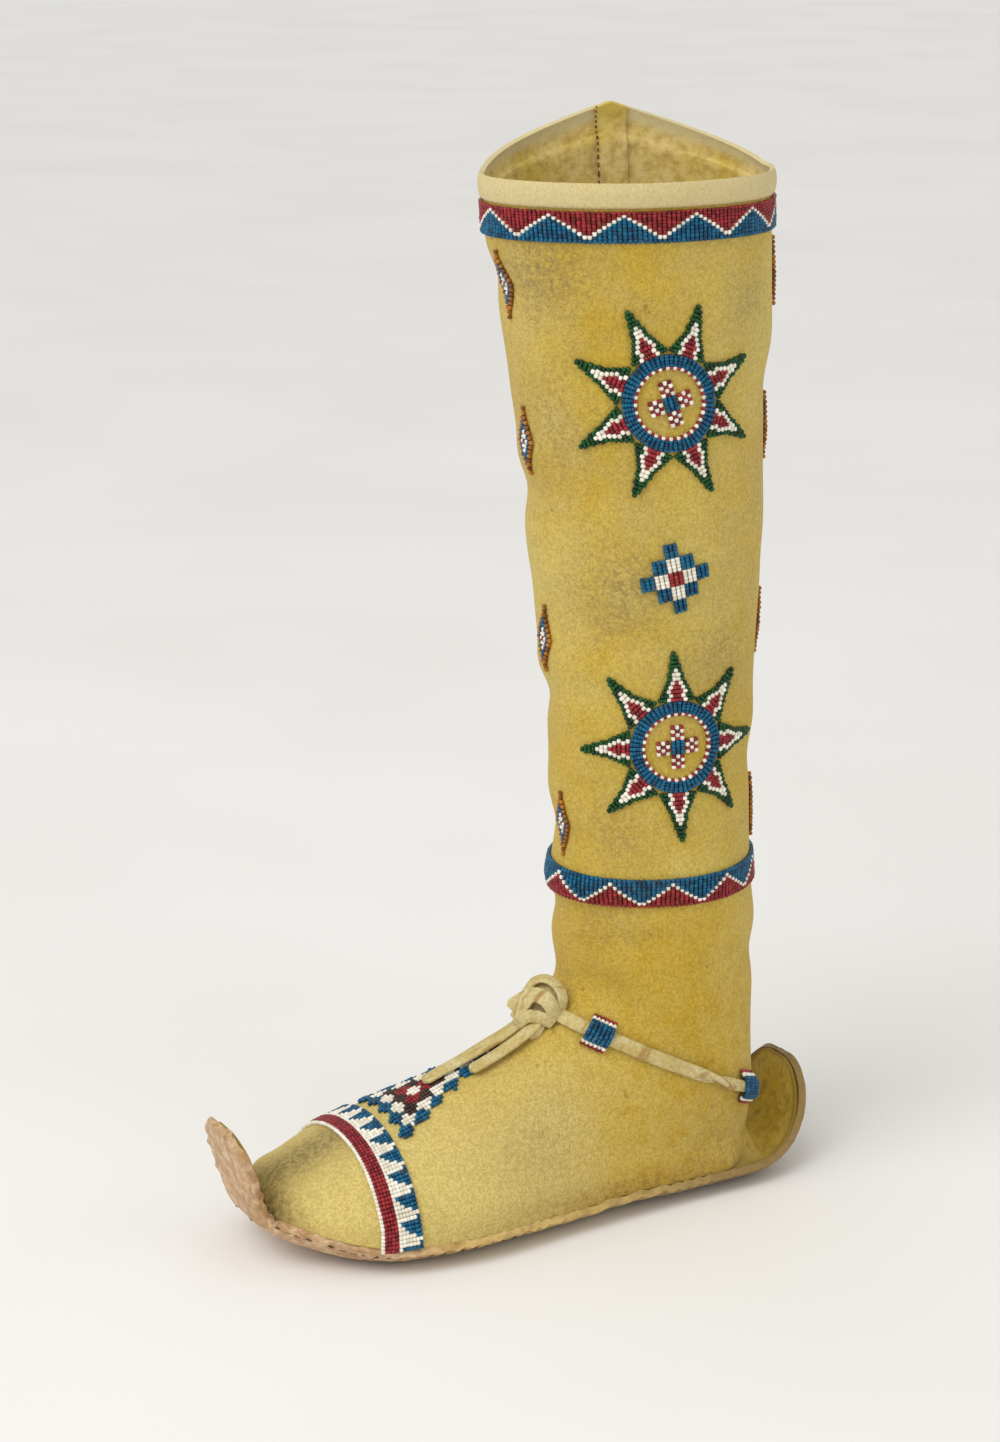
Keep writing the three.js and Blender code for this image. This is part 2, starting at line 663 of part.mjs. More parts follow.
const box = new THREE.Box3().setFromObject(group);
const centre = box.getCenter(new THREE.Vector3());
for (const piece of group.children) piece.geometry.translate(-centre.x, -centre.y, -box.min.z);

export default group;
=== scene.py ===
import math

import bmesh
import bpy
import numpy as np
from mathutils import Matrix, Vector


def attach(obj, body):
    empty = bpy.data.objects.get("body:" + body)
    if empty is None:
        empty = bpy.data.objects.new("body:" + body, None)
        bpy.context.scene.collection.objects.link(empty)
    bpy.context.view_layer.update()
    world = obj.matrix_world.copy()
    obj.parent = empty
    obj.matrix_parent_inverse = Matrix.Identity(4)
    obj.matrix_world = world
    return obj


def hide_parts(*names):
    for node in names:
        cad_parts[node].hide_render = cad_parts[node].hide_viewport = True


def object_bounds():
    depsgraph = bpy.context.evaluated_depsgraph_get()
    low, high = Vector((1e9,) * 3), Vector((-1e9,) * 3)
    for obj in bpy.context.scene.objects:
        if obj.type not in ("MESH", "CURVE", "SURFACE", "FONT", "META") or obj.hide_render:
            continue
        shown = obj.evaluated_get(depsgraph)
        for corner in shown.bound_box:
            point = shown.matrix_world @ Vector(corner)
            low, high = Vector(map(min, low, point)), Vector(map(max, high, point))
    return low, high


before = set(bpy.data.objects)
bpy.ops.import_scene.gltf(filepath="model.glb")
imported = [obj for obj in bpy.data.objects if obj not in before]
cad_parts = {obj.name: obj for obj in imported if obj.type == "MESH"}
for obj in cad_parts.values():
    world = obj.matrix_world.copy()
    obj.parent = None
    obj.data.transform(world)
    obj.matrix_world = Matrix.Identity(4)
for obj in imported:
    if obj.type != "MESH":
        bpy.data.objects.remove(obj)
cad_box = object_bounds()
MM = 0.001

# Camera at the photograph's angle to the shaft
CAMERA_AZIMUTH = math.radians(62)
CAMERA_ELEVATION = math.radians(16)
CAMERA_DISTANCE = 1.25
CAMERA_LENS = 79
CAMERA_TARGET = Vector((0.012, -0.014, 0.213))


def add_camera():
    data = bpy.data.cameras.new("camera")
    data.lens = CAMERA_LENS
    camera = bpy.data.objects.new("camera", data)
    bpy.context.collection.objects.link(camera)
    level = math.cos(CAMERA_ELEVATION)
    back = Vector((
        math.sin(CAMERA_AZIMUTH) * level,
        -math.cos(CAMERA_AZIMUTH) * level,
        math.sin(CAMERA_ELEVATION),
    ))
    camera.location = CAMERA_TARGET + back * CAMERA_DISTANCE
    camera.rotation_euler = (-back).to_track_quat("-Z", "Y").to_euler()
    bpy.context.scene.camera = camera


add_camera()

# Driving sizes of the boot, in millimetres
FOOT_LENGTH = 228
BALL_WIDTH = 93
INSTEP_HEIGHT = 92
SHAFT_HEIGHT = 425
COLLAR_DEPTH = 120
COLLAR_WIDTH = 97
RIM_PEAK = 22
WALL = 2
CUFF_HEIGHT = 10
CUFF_STEP = 1
GAP = 0.3
SOLE_THICKNESS = 3
TAB_HEIGHT = 57
LIP_REACH = 21
LIP_HEIGHT = 42
FACING = 1.2
BAND_HEIGHT = 12
TIE_WIDTH = 6
TIE_THICKNESS = 3
KNOT_HEIGHT = 13
END_THICKNESS = 2.2
HEEL_Y = cad_box[1].y / MM - LIP_REACH - SOLE_THICKNESS


# Tables have a header of column names, then one row per section
def table(header, rows):
    return dict(zip(header.split(), np.array(rows, float).T))


# Foot sections from toe to ankle: shares of foot length, instep height and half the ball width
FOOT = table("top_along top_high low_along low_high half shift wide square", [
    [0.992, 0.262, 1.000, 0.110, 0.320, -0.120, 0.62, 3.0],
    [0.974, 0.315, 0.985, 0.030, 0.490, -0.115, 0.66, 3.2],
    [0.940, 0.372, 0.955, -0.020, 0.660, -0.100, 0.68, 3.4],
    [0.870, 0.450, 0.885, -0.050, 0.860, -0.060, 0.70, 3.5],
    [0.768, 0.545, 0.772, -0.050, 0.975, -0.015, 0.72, 3.5],
    [0.658, 0.632, 0.655, -0.050, 1.000, 0.010, 0.73, 3.5],
    [0.550, 0.728, 0.526, -0.050, 0.930, 0.020, 0.74, 3.4],
    [0.455, 0.845, 0.395, -0.050, 0.850, 0.015, 0.72, 3.2],
    [0.402, 0.965, 0.263, -0.050, 0.785, 0.005, 0.68, 3.0],
    [0.386, 1.075, 0.130, -0.030, 0.750, 0.000, 0.62, 2.7],
    [0.380, 1.165, 0.034, 0.120, 0.755, 0.000, 0.57, 2.4],
    [0.378, 1.235, 0.002, 0.460, 0.780, 0.000, 0.53, 2.2],
    [0.378, 1.300, 0.000, 0.850, 0.800, 0.000, 0.51, 2.0],
    [0.379, 1.360, 0.006, 1.200, 0.800, 0.000, 0.50, 2.0],
])

# Shaft sections from ankle to collar: shares of shaft height, collar depth and half the collar width
SHAFT = table("high back front half lift", [
    [0.307, 0.018, 0.722, 0.768, 0],
    [0.350, 0.024, 0.725, 0.766, 0],
    [0.410, 0.027, 0.735, 0.772, 0],
    [0.480, 0.026, 0.752, 0.792, 0],
    [0.570, 0.018, 0.790, 0.815, 0],
    [0.660, 0.010, 0.820, 0.845, 0],
    [0.750, 0.006, 0.862, 0.880, 0],
    [0.840, 0.000, 0.912, 0.920, 0],
    [0.915, -0.002, 0.950, 0.960, 0.25],
    [0.968, -0.004, 0.978, 0.988, 0.75],
    [1.000, -0.008, 0.992, 1.000, 1.0],
])


def foot_and_shaft(foot, shaft):
    return np.concatenate([foot, np.broadcast_to(shaft, len(SHAFT["high"]))])


SECTIONS = {
    "top_a": foot_and_shaft(FOOT["top_along"] * FOOT_LENGTH, SHAFT["front"] * COLLAR_DEPTH),
    "top_z": foot_and_shaft(FOOT["top_high"] * INSTEP_HEIGHT, SHAFT["high"] * SHAFT_HEIGHT),
    "low_a": foot_and_shaft(FOOT["low_along"] * FOOT_LENGTH, SHAFT["back"] * COLLAR_DEPTH),
    "low_z": foot_and_shaft(FOOT["low_high"] * INSTEP_HEIGHT, SHAFT["high"] * SHAFT_HEIGHT),
    "half": foot_and_shaft(FOOT["half"] * BALL_WIDTH / 2, SHAFT["half"] * COLLAR_WIDTH / 2),
    "shift": foot_and_shaft(FOOT["shift"] * BALL_WIDTH / 2, 0),
    "wide": foot_and_shaft(FOOT["wide"], 0.5),
    "square": foot_and_shaft(FOOT["square"], 2),
    "lift": foot_and_shaft(FOOT["half"] * 0, SHAFT["lift"] * RIM_PEAK),
}
TOE = 0
ANKLE = len(FOOT["half"]) - 1
COLLAR = len(SECTIONS["half"]) - 1
PEAK_ANGLE = math.radians(-107)
PEAK_SPREAD = math.radians(80)
PEAK_POWER = 1.2


# Smooth value of one column at fractional rows, without overshoot
def value_at(column, at):
    slope = np.diff(column)
    before = slope[:-1]
    after = slope[1:]
    same = before * after > 0
    inner = np.where(same, 2 * before * after / np.where(same, before + after, 1), 0)
    tangent = np.concatenate([slope[:1], inner, slope[-1:]])
    place = np.clip(at, 0, len(column) - 1)
    row = np.minimum(np.floor(place).astype(int), len(column) - 2)
    f = place - row
    start = column[row] * (2 * f**3 - 3 * f**2 + 1) + tangent[row] * (f**3 - 2 * f**2 + f)
    return start + column[row + 1] * (3 * f**2 - 2 * f**3) + tangent[row + 1] * (f**3 - f**2)


def unit(vectors):
    return vectors / np.linalg.norm(vectors, axis=-1, keepdims=True)


def signed_power(value, power):
    return np.sign(value) * np.abs(value) ** power


def ease(share):
    share = np.clip(share, 0, 1)
    return share * share * (3 - 2 * share)


def lengths_along(points):
    steps = np.linalg.norm(np.diff(points, axis=0), axis=-1)
    return np.concatenate([[0], np.cumsum(steps)])


# Points of a line at given lengths, from the lengths at its own points
def along_line(lengths, run, line):
    return np.stack([np.interp(lengths, run, column) for column in line.T], axis=-1)


# Angle from the collar's peak, within half a turn either way
def from_peak(angle):
    return (angle - PEAK_ANGLE + np.pi) % (2 * np.pi) - np.pi


# Point of the last's skin at a fractional section and an angle from the front toward the outer side
def skin(at, angle):
    at, angle = np.broadcast_arrays(np.asarray(at, float), np.asarray(angle, float))
    s = {name: value_at(column, at) for name, column in SECTIONS.items()}
    power = np.where(np.cos(angle) >= 0, 1, 2 / s["square"])
    across = signed_power(np.sin(angle), power)
    along = signed_power(np.cos(angle), power)
    down = s["wide"] - along * np.where(along >= 0, s["wide"], 1 - s["wide"])
    tent = np.maximum(0, 1 - np.abs(from_peak(angle)) / PEAK_SPREAD) ** PEAK_POWER
    a = s["top_a"] + (s["low_a"] - s["top_a"]) * down
    z = s["top_z"] + (s["low_z"] - s["top_z"]) * down + s["lift"] * tent
    return np.stack([s["shift"] + s["half"] * across, -a, z], axis=-1)


NUDGE = 0.02


def outward(at, angle):
    low = np.clip(at - NUDGE, TOE, COLLAR - NUDGE)
    high = np.clip(at + NUDGE, TOE + NUDGE, COLLAR)
    along = skin(high, angle) - skin(low, angle)
    around = skin(at, angle + NUDGE) - skin(at, angle - NUDGE)
    return unit(np.cross(around, along))


# Creases of the soft hide, placed by section and angle: a trough with a ridge above it
CREASES = table("section degrees tilt length width depth", [
    [8.6, 0, 0, 42, 9, 2.2],
    [9.8, 52, -24, 40, 8, 1.3],
    [9.6, -55, 26, 40, 8, 1.3],
    [11.4, 30, 10, 42, 6, 1.3],
    [12.4, -20, 0, 46, 8, 1.8],
    [12.6, 160, -6, 40, 9, 1.5],
    [13.8, 24, 4, 60, 6, 1.4],
    [15.4, -30, -10, 32, 9, 1.7],
    [16.2, 34, 22, 34, 8, 1.0],
    [17.3, -18, 12, 34, 8, 2.2],
    [18.2, 30, -20, 34, 9, 2.0],
    [18.5, 112, 18, 30, 10, 1.3],
    [19.5, -24, 6, 30, 9, 2.3],
    [20.9, 42, 30, 30, 8, 1.4],
    [21.8, -14, -14, 28, 9, 1.9],
    [22.1, 70, -8, 36, 7, 1.0],
    [16.6, -120, 14, 45, 12, 1.5],
    [20.2, -60, -20, 40, 11, 1.5],
    [20.6, 170, 10, 34, 11, 1.3],
    [16.4, 158, -8, 32, 10, 1.2],
    [6.2, 48, 58, 34, 9, 1.0],
    [6.4, -46, -58, 34, 9, 1.0],
    [2.6, 20, 10, 24, 7, 0.7],
])
PUCKER = 0.35
PUCKER_REACH = 6
PUCKER_STEP = 8.5
RELIEF_CLEAR = 14
RIDGE_SHARE = 0.6
RIDGE_AWAY = 1.7
CREASE_DEPTH_REACH = 25
LUMPS = table("across along up turn height", [
    [0.045, 0.060, 0.052, 0.4, 0.45],
    [-0.080, 0.035, 0.071, 2.1, 0.35],
    [0.060, -0.095, 0.028, 4.0, 0.30],
])


# Height of the worn hide over the last's skin, in millimetres
def relief(at, angle):
    points = skin(at, angle)
    high = np.zeros(points.shape[:-1])
    for across, along, up, turn, height in zip(*LUMPS.values()):
        high += height * np.sin(points @ np.array([across, along, up]) + turn)
    for section, degrees, tilt, length, width, depth in zip(*CREASES.values()):
        middle = math.radians(degrees)
        normal = outward(section, middle)
        up = unit(skin(section + NUDGE, middle) - skin(section - NUDGE, middle))
        right = np.cross(up, normal)
        lean = math.radians(tilt)
        offset = points - skin(section, middle)
        run = offset @ (right * math.cos(lean) + up * math.sin(lean))
        rise = offset @ (up * math.cos(lean) - right * math.sin(lean))
        near = np.exp(-(run / length) ** 2 - (offset @ normal / CREASE_DEPTH_REACH) ** 2)
        trough = np.exp(-(rise / width) ** 2)
        ridge = np.exp(-(rise / width - RIDGE_AWAY) ** 2)
        high += depth * near * (RIDGE_SHARE * ridge - trough)
    above = np.clip(points[..., 2] - sole_height(points), 0, None)
    gather = PUCKER * (1 + np.sin(2 * np.pi * points[..., 1] / PUCKER_STEP))
    return high * ease(above / RELIEF_CLEAR) + gather * np.exp(-above / PUCKER_REACH)


# Point over the worn hide by an offset along its outward direction
def over_hide(at, angle, offset):
    lift = relief(at, angle) + offset
    points = skin(at, angle)
    return points + outward(at, angle) * lift[..., None] + rim_hug(points)


# Sole stations from heel lip to toe tab: shares of foot length, half the ball width and the rim
SOLE = table("along high half shift rim", [
    [-0.0920, 1.00, 0.090, 0.000, 0.0],
    [-0.0915, 0.93, 0.270, 0.000, 0.1],
    [-0.0890, 0.78, 0.410, 0.000, 0.2],
    [-0.0810, 0.56, 0.520, 0.000, 0.4],
    [-0.0620, 0.32, 0.610, 0.000, 0.7],
    [-0.0300, 0.14, 0.685, 0.000, 0.9],
    [0.0120, 0.03, 0.735, 0.000, 1.0],
    [0.0600, 0.00, 0.765, 0.000, 1.0],
    [0.1100, 0.00, 0.775, 0.000, 1.0],
    [0.1600, 0.00, 0.782, 0.000, 1.0],
    [0.2100, 0.00, 0.792, 0.000, 1.0],
    [0.3300, 0.03, 0.830, 0.010, 1.0],
    [0.4700, 0.00, 0.895, 0.020, 1.1],
    [0.5600, 0.00, 0.955, 0.018, 1.2],
    [0.6600, 0.00, 1.010, 0.010, 1.2],
    [0.7700, 0.00, 0.985, -0.015, 1.2],
    [0.8600, 0.05, 0.890, -0.055, 1.2],
    [0.9250, 0.14, 0.730, -0.090, 1.1],
    [0.9700, 0.22, 0.560, -0.110, 0.9],
    [0.9960, 0.31, 0.420, -0.120, 0.5],
    [1.0080, 0.45, 0.395, -0.120, 0.3],
    [1.0200, 0.64, 0.430, -0.120, 0.25],
    [1.0310, 0.82, 0.400, -0.120, 0.2],
    [1.0390, 0.94, 0.270, -0.120, 0.1],
    [1.0420, 1.00, 0.090, -0.120, 0.0],
])
LAST_STATION = len(SOLE["half"]) - 1
RIM_HEIGHT = 7
RIM_FLAT = 0.5
RIM_CURL = 2.3


def sole_spine(at):
    along = value_at(SOLE["along"], at)
    reach = np.where(at < len(SOLE["half"]) / 2, LIP_HEIGHT, TAB_HEIGHT)
    z = SOLE_THICKNESS + value_at(SOLE["high"], at) * (reach - SOLE_THICKNESS)
    a = np.where(along < 0, along * LIP_REACH / -SOLE["along"][0], along * FOOT_LENGTH)
    return np.stack([np.zeros_like(z), -a, z], axis=-1)


def sole_half(at):
    return value_at(SOLE["half"], at) * BALL_WIDTH / 2


def sole_shift(at):
    return value_at(SOLE["shift"], at) * BALL_WIDTH / 2


# Share of the way from the sole's flat out to the edge of its rim
def rim_share(share):
    return np.clip((np.abs(share) - RIM_FLAT) / (1 - RIM_FLAT), 0, 1)


def rim_lift(at, share):
    return value_at(SOLE["rim"], at) * RIM_HEIGHT * rim_share(share) ** RIM_CURL


# Point of the sole's inner face at a fractional station and a share of the half width
def sole_face(at, share):
    at, share = np.broadcast_arrays(np.asarray(at, float), np.asarray(share, float))
    ahead = sole_spine(np.minimum(at + NUDGE, LAST_STATION))
    along = unit(ahead - sole_spine(np.maximum(at - NUDGE, 0)))
    up = -np.cross(np.array([1.0, 0, 0]), along)
    point = sole_spine(at) + up * rim_lift(at, share)[..., None]
    point[..., 0] = sole_shift(at) + sole_half(at) * share
    return point


def sole_normal(at, share):
    ahead = sole_face(np.minimum(at + NUDGE, LAST_STATION), share)
    ahead = ahead - sole_face(np.maximum(at - NUDGE, 0), share)
    side = sole_face(at, np.minimum(share + NUDGE, 1)) - sole_face(at, np.maximum(share - NUDGE, -1))
    return unit(np.cross(ahead, side))


STATION_STEPS = 600
STATIONS = np.linspace(0, LAST_STATION, STATION_STEPS)
STATION_Y = sole_spine(STATIONS)[:, 1]
STATION_RUN = lengths_along(sole_spine(STATIONS))


def station_under(points):
    return np.interp(-points[..., 1], -STATION_Y, STATIONS)


# Height of the sole's face under a point of the foot
def sole_height(points):
    at = station_under(points)
    share = (points[..., 0] - sole_shift(at)) / sole_half(at)
    return sole_spine(at)[..., 2] + rim_lift(at, share)


HUG_GAP = 0.1
HUG_REACH = 16
HUG_HEEL = 3
HUG_HEEL_FADE = 26
HUG_TOE = 222
HUG_TOE_FADE = 14
HUG_LEAST_RIM = 1


# Sideways push that lays the hide's lower edge against the inside of the sole's rim
def rim_hug(points):
    at = station_under(points)
    rim = value_at(SOLE["rim"], at) * RIM_HEIGHT
    above = points[..., 2] - sole_spine(at)[..., 2]
    curl = np.clip(above / np.maximum(rim, HUG_LEAST_RIM), 0, 1)
    reach = (RIM_FLAT + (1 - RIM_FLAT) * curl ** (1 / RIM_CURL)) * sole_half(at)
    aside = points[..., 0] - sole_shift(at)
    push = np.maximum(reach - HUG_GAP - np.abs(aside), 0) * (1 - ease((above - rim) / HUG_REACH))
    push = push * ease((-points[..., 1] - HUG_HEEL) / HUG_HEEL_FADE)
    push = push * ease((HUG_TOE + points[..., 1]) / HUG_TOE_FADE)
    hug = np.zeros(points.shape)
    hug[..., 0] = push * np.sign(aside)
    return hug


FINE_STEPS = 2000
SHAFT_FROM = ANKLE - 2


# Section where the skin reaches a height on one meridian
def section_at_height(height, angle):
    at = np.linspace(SHAFT_FROM, COLLAR, FINE_STEPS)
    return float(np.interp(height, skin(at, angle)[:, 2], at))


# Place on the shaft at a share of its height
def shaft_anchor(share, angle):
    return section_at_height(share * SHAFT_HEIGHT, angle), angle


WALK_STEPS = 2401
WALK_SECTIONS = np.linspace(TOE, COLLAR, WALK_STEPS)
WALK_REACH = 1.6
TURN_STEPS = 161
WALK_TURNS = np.linspace(-WALK_REACH, WALK_REACH, TURN_STEPS)


# Spots on the skin reached from an anchor: up its meridian, then round the section, both by length
def walk(anchor, right, up):
    section, angle = anchor
    rise = lengths_along(skin(WALK_SECTIONS, angle))
    start = np.interp(section, WALK_SECTIONS, rise)
    at = np.interp(start + up, rise, WALK_SECTIONS)
    ring = skin(at[:, None], angle + WALK_TURNS)
    steps = np.linalg.norm(np.diff(ring, axis=1), axis=-1)
    run = np.concatenate([np.zeros((len(at), 1)), np.cumsum(steps, axis=1)], axis=1)
    middle = len(WALK_TURNS) // 2
    turns = [np.interp(r + row[middle], row, WALK_TURNS) for r, row in zip(right, run)]
    return at, angle + np.array(turns)


# Millimetres on the last to metres in the part's own frame
def in_frame(points):
    return (points + np.array([0, HEEL_Y, 0])) * MM


# Display values from 0 to 255 as a linear colour
def linear(red, green, blue):
    shares = np.array([red, green, blue]) / 255
    low = shares / 12.92
    high = ((shares + 0.055) / 1.055) ** 2.4
    return (*np.where(shares <= 0.04045, low, high).tolist(), 1.0)


# Shader helpers
def add_node(tree, kind, inputs=None, **settings):
    node = tree.nodes.new(kind)
    for name, value in settings.items():
        setattr(node, name, value)
    for name, value in (inputs or {}).items():
        if isinstance(value, bpy.types.NodeSocket):
            tree.links.new(value, node.inputs[name])
        else:
            node.inputs[name].default_value = value
    return node


def noise(tree, vector, scale, detail=4.0, roughness=0.55):
    inputs = {"Vector": vector, "Scale": scale, "Detail": detail, "Roughness": roughness}
    return add_node(tree, "ShaderNodeTexNoise", inputs).outputs["Fac"]


def fade(tree, value, low, high, start=0.0, end=1.0):
    inputs = {"Value": value, "From Min": low, "From Max": high, "To Min": start, "To Max": end}
    return add_node(tree, "ShaderNodeMapRange", inputs, interpolation_type="SMOOTHSTEP").outputs["Result"]


def math_node(tree, operation, first, second=0.0):
    return add_node(tree, "ShaderNodeMath", {0: first, 1: second}, operation=operation).outputs[0]


def times(tree, first, second):
    return math_node(tree, "MULTIPLY", first, second)


# Places of the colour sockets on a Mix node
MIX_SHARE = 0
MIX_FIRST = 6
MIX_SECOND = 7
MIX_COLOUR = 2


def mixed(tree, share, first, second, blend="MIX"):
    inputs = {MIX_SHARE: share, MIX_FIRST: first, MIX_SECOND: second}
    node = add_node(tree, "ShaderNodeMix", inputs, data_type="RGBA", blend_type=blend)
    return node.outputs[MIX_COLOUR]


def stretched(tree, vector, scale):
    return add_node(tree, "ShaderNodeMapping", {"Vector": vector, "Scale": scale}).outputs["Vector"]


def attribute(tree, name):
    return add_node(tree, "ShaderNodeAttribute", attribute_name=name).outputs["Fac"]


def new_group(name, inputs, outputs):
    group = bpy.data.node_groups.new(name, "ShaderNodeTree")
    for socket, kind, value in inputs:
        made = group.interface.new_socket(socket, in_out="INPUT", socket_type=kind)
        if value is not None:
            made.default_value = value
    for socket, kind in outputs:
        group.interface.new_socket(socket, in_out="OUTPUT", socket_type=kind)
    entry = group.nodes.new("NodeGroupInput").outputs
    leave = group.nodes.new("NodeGroupOutput").inputs
    return group, entry, leave


# Pebbled, napped surface of tanned hide: a bump height and a fine speckle
def make_nap_group():
    group, entry, leave = new_group(
        "hide nap",
        [("Vector", "NodeSocketVector", None), ("Grain", "NodeSocketFloat", 620.0)],
        [("Height", "NodeSocketFloat"), ("Speckle", "NodeSocketFloat")],
    )
    pebbles = add_node(group, "ShaderNodeTexVoronoi", {"Vector": entry["Vector"], "Scale": entry["Grain"]})
    hairs = noise(group, entry["Vector"], 1900.0, 3.0, 0.7)
    wrinkles = noise(group, entry["Vector"], 150.0, 5.0, 0.6)
    rough = math_node(group, "ADD", times(group, pebbles.outputs["Distance"], 0.5), hairs)
    height = math_node(group, "ADD", rough, times(group, wrinkles, 1.3))
    group.links.new(height, leave["Height"])
    fine = noise(group, entry["Vector"], times(group, entry["Grain"], 1.7), 2.0, 0.6)
    coarse = noise(group, entry["Vector"], times(group, entry["Grain"], 0.8), 3.0, 0.6)
    fine = fade(group, fine, 0.28, 0.72, 0.0, 0.65)
    speckle = math_node(group, "ADD", fine, fade(group, coarse, 0.28, 0.72, 0.0, 0.35))
    group.links.new(speckle, leave["Speckle"])
    return group


# Broad and small patches of wear or soil as masks
def make_patch_group():
    group, entry, leave = new_group(
        "wear patches",
        [("Vector", "NodeSocketVector", None), ("Scale", "NodeSocketFloat", 12.0)],
        [("Broad", "NodeSocketFloat"), ("Small", "NodeSocketFloat")],
    )
    broad = noise(group, entry["Vector"], entry["Scale"], 5.0, 0.6)
    small = noise(group, entry["Vector"], times(group, entry["Scale"], 9.0), 6.0, 0.65)
    group.links.new(fade(group, broad, 0.36, 0.64), leave["Broad"])
    group.links.new(fade(group, small, 0.4, 0.68), leave["Small"])
    return group


DUST_MOST = 0.3
DUST_ROUGHER = 0.25


# Patches of dust that dull the glass of the beads
def make_dust_group():
    group, entry, leave = new_group(
        "bead dust",
        [("Vector", "NodeSocketVector", None), ("Most", "NodeSocketFloat", DUST_MOST)],
        [("Dust", "NodeSocketFloat")],
    )
    cloud = noise(group, entry["Vector"], 260.0, 3.0)
    group.links.new(fade(group, cloud, 0.62, 0.8, 0.0, entry["Most"]), leave["Dust"])
    return group


NAP = make_nap_group()
PATCHES = make_patch_group()
DUST = make_dust_group()


def use_group(tree, group, **inputs):
    return add_node(tree, "ShaderNodeGroup", inputs, node_tree=group).outputs


def new_material(name):
    material = bpy.data.materials.new(name)
    material.use_nodes = True
    tree = material.node_tree
    shader = tree.nodes["Principled BSDF"]
    place = add_node(tree, "ShaderNodeTexCoord").outputs["Object"]
    return material, tree, shader, place


# Named tones of a material
def tones(**shades):
    return {name: linear(*shade) for name, shade in shades.items()}


# Tones laid over a colour one after the other, each by its own mask
def layered(tree, colour, palette, masks):
    for name, mask in masks.items():
        colour = mixed(tree, mask, colour, palette[name])
    return colour


# Colour and roughness change over the surface, plain values don't
def set_shader(tree, shader, colour, roughness, plain):
    tree.links.new(colour, shader.inputs["Base Color"])
    tree.links.new(roughness, shader.inputs["Roughness"])
    for name, value in plain.items():
        shader.inputs[name].default_value = value


def set_bump(tree, shader, height, strength, distance):
    inputs = {"Height": height, "Strength": strength, "Distance": distance}
    bump = add_node(tree, "ShaderNodeBump", inputs)
    tree.links.new(bump.outputs["Normal"], shader.inputs["Normal"])


def axis_values(tree, place):
    return add_node(tree, "ShaderNodeSeparateXYZ", {"Vector": place}).outputs


# Yellow tanned hide of the upper, with gold, worn and soiled places, and fine dark lines in the rubbed
# places that are painted shade of small creases
HIDE_TONES = tones(
    yellow=(197, 165, 56), pale=(206, 183, 96), cream=(216, 196, 124), worn=(190, 168, 102),
    gold=(190, 153, 30), smudge=(150, 130, 82), soil=(140, 102, 28), toe=(110, 92, 50),
    cuff=(216, 200, 154), specks=(128, 96, 44), seam=(104, 82, 36), lines=(128, 106, 62),
)
NAP_DARK = (0.86, 0.82, 0.72, 1)
NAP_LIGHT = (1.13, 1.15, 1.13, 1)
NAP_PLAIN = (1, 1, 1, 1)


def make_hide():
    material, tree, shader, place = new_material("yellow hide")
    nap = use_group(tree, NAP, Vector=place)
    patches = use_group(tree, PATCHES, Vector=place, Scale=13.0)
    spots = use_group(tree, PATCHES, Vector=place, Scale=46.0)
    axes = axis_values(tree, place)
    rubbed = attribute(tree, "smudge")
    turned_over = attribute(tree, "cuff")
    low_front = times(tree, fade(tree, axes["Z"], 0.085, 0.045), fade(tree, axes["Y"], 0.055, 0.0))
    low_back = times(tree, fade(tree, axes["Z"], 0.15, 0.08), fade(tree, axes["Y"], -0.01, 0.06))
    heel_half = fade(tree, axes["Y"], -0.06, 0.05, 0.15, 0.85)
    soil = times(tree, fade(tree, attribute(tree, "above_sole"), 15.0, 1.0), heel_half)
    toe = times(tree, fade(tree, axes["Y"], -0.064, -0.080), attribute(tree, "toe_ridge"))
    toe = math_node(tree, "MAXIMUM", toe, fade(tree, axes["Y"], -0.102, -0.116))
    seam = fade(tree, math_node(tree, "ABSOLUTE", attribute(tree, "seam")), 1.1, 0.4)
    # Fine dark lines in the rubbed places: painted shade of small creases, drawn in colour only with no
    # relief under them
    lines = noise(tree, stretched(tree, place, (1.0, 1.0, 2.2)), 190.0, 3.0, 0.5)
    lines = math_node(tree, "ABSOLUTE", math_node(tree, "SUBTRACT", lines, 0.5))
    colour = mixed(tree, patches["Broad"], HIDE_TONES["yellow"], HIDE_TONES["pale"])
    colour = layered(tree, colour, HIDE_TONES, {
        "cream": times(tree, low_front, 0.75),
        "worn": times(tree, spots["Broad"], fade(tree, axes["Z"], 0.10, 0.32, 0.2, 0.45)),
        "gold": times(tree, low_back, fade(tree, patches["Small"], 0.0, 1.0, 0.4, 0.8)),
        "smudge": times(tree, rubbed, fade(tree, spots["Small"], 0.0, 0.9, 0.35, 1.0)),
        "soil": times(tree, soil, fade(tree, spots["Small"], 0.0, 1.0, 0.55, 1.0)),
        "toe": times(tree, toe, fade(tree, spots["Small"], 0.0, 0.8, 0.5, 0.8)),
        "cuff": times(tree, turned_over, 0.8),
        "specks": fade(tree, noise(tree, place, 130.0, 2.0), 0.70, 0.76, 0.0, 0.45),
        "seam": times(tree, seam, 0.55),
        "lines": times(tree, rubbed, fade(tree, lines, 0.05, 0.0, 0.0, 0.55)),
    })
    shade = mixed(tree, fade(tree, nap["Speckle"], 0.1, 0.9), NAP_DARK, NAP_LIGHT)
    shade = mixed(tree, times(tree, turned_over, 0.55), shade, NAP_PLAIN)
    colour = mixed(tree, 1.0, colour, shade, "MULTIPLY")
    roughness = fade(tree, nap["Speckle"], 0.0, 1.0, 0.96, 0.82)
    set_shader(tree, shader, colour, roughness, {"Sheen Weight": 0.12, "Specular IOR Level": 0.25})
    height = math_node(tree, "SUBTRACT", nap["Height"], times(tree, seam, 2.5))
    set_bump(tree, shader, height, 0.85, 0.0005)
    return material
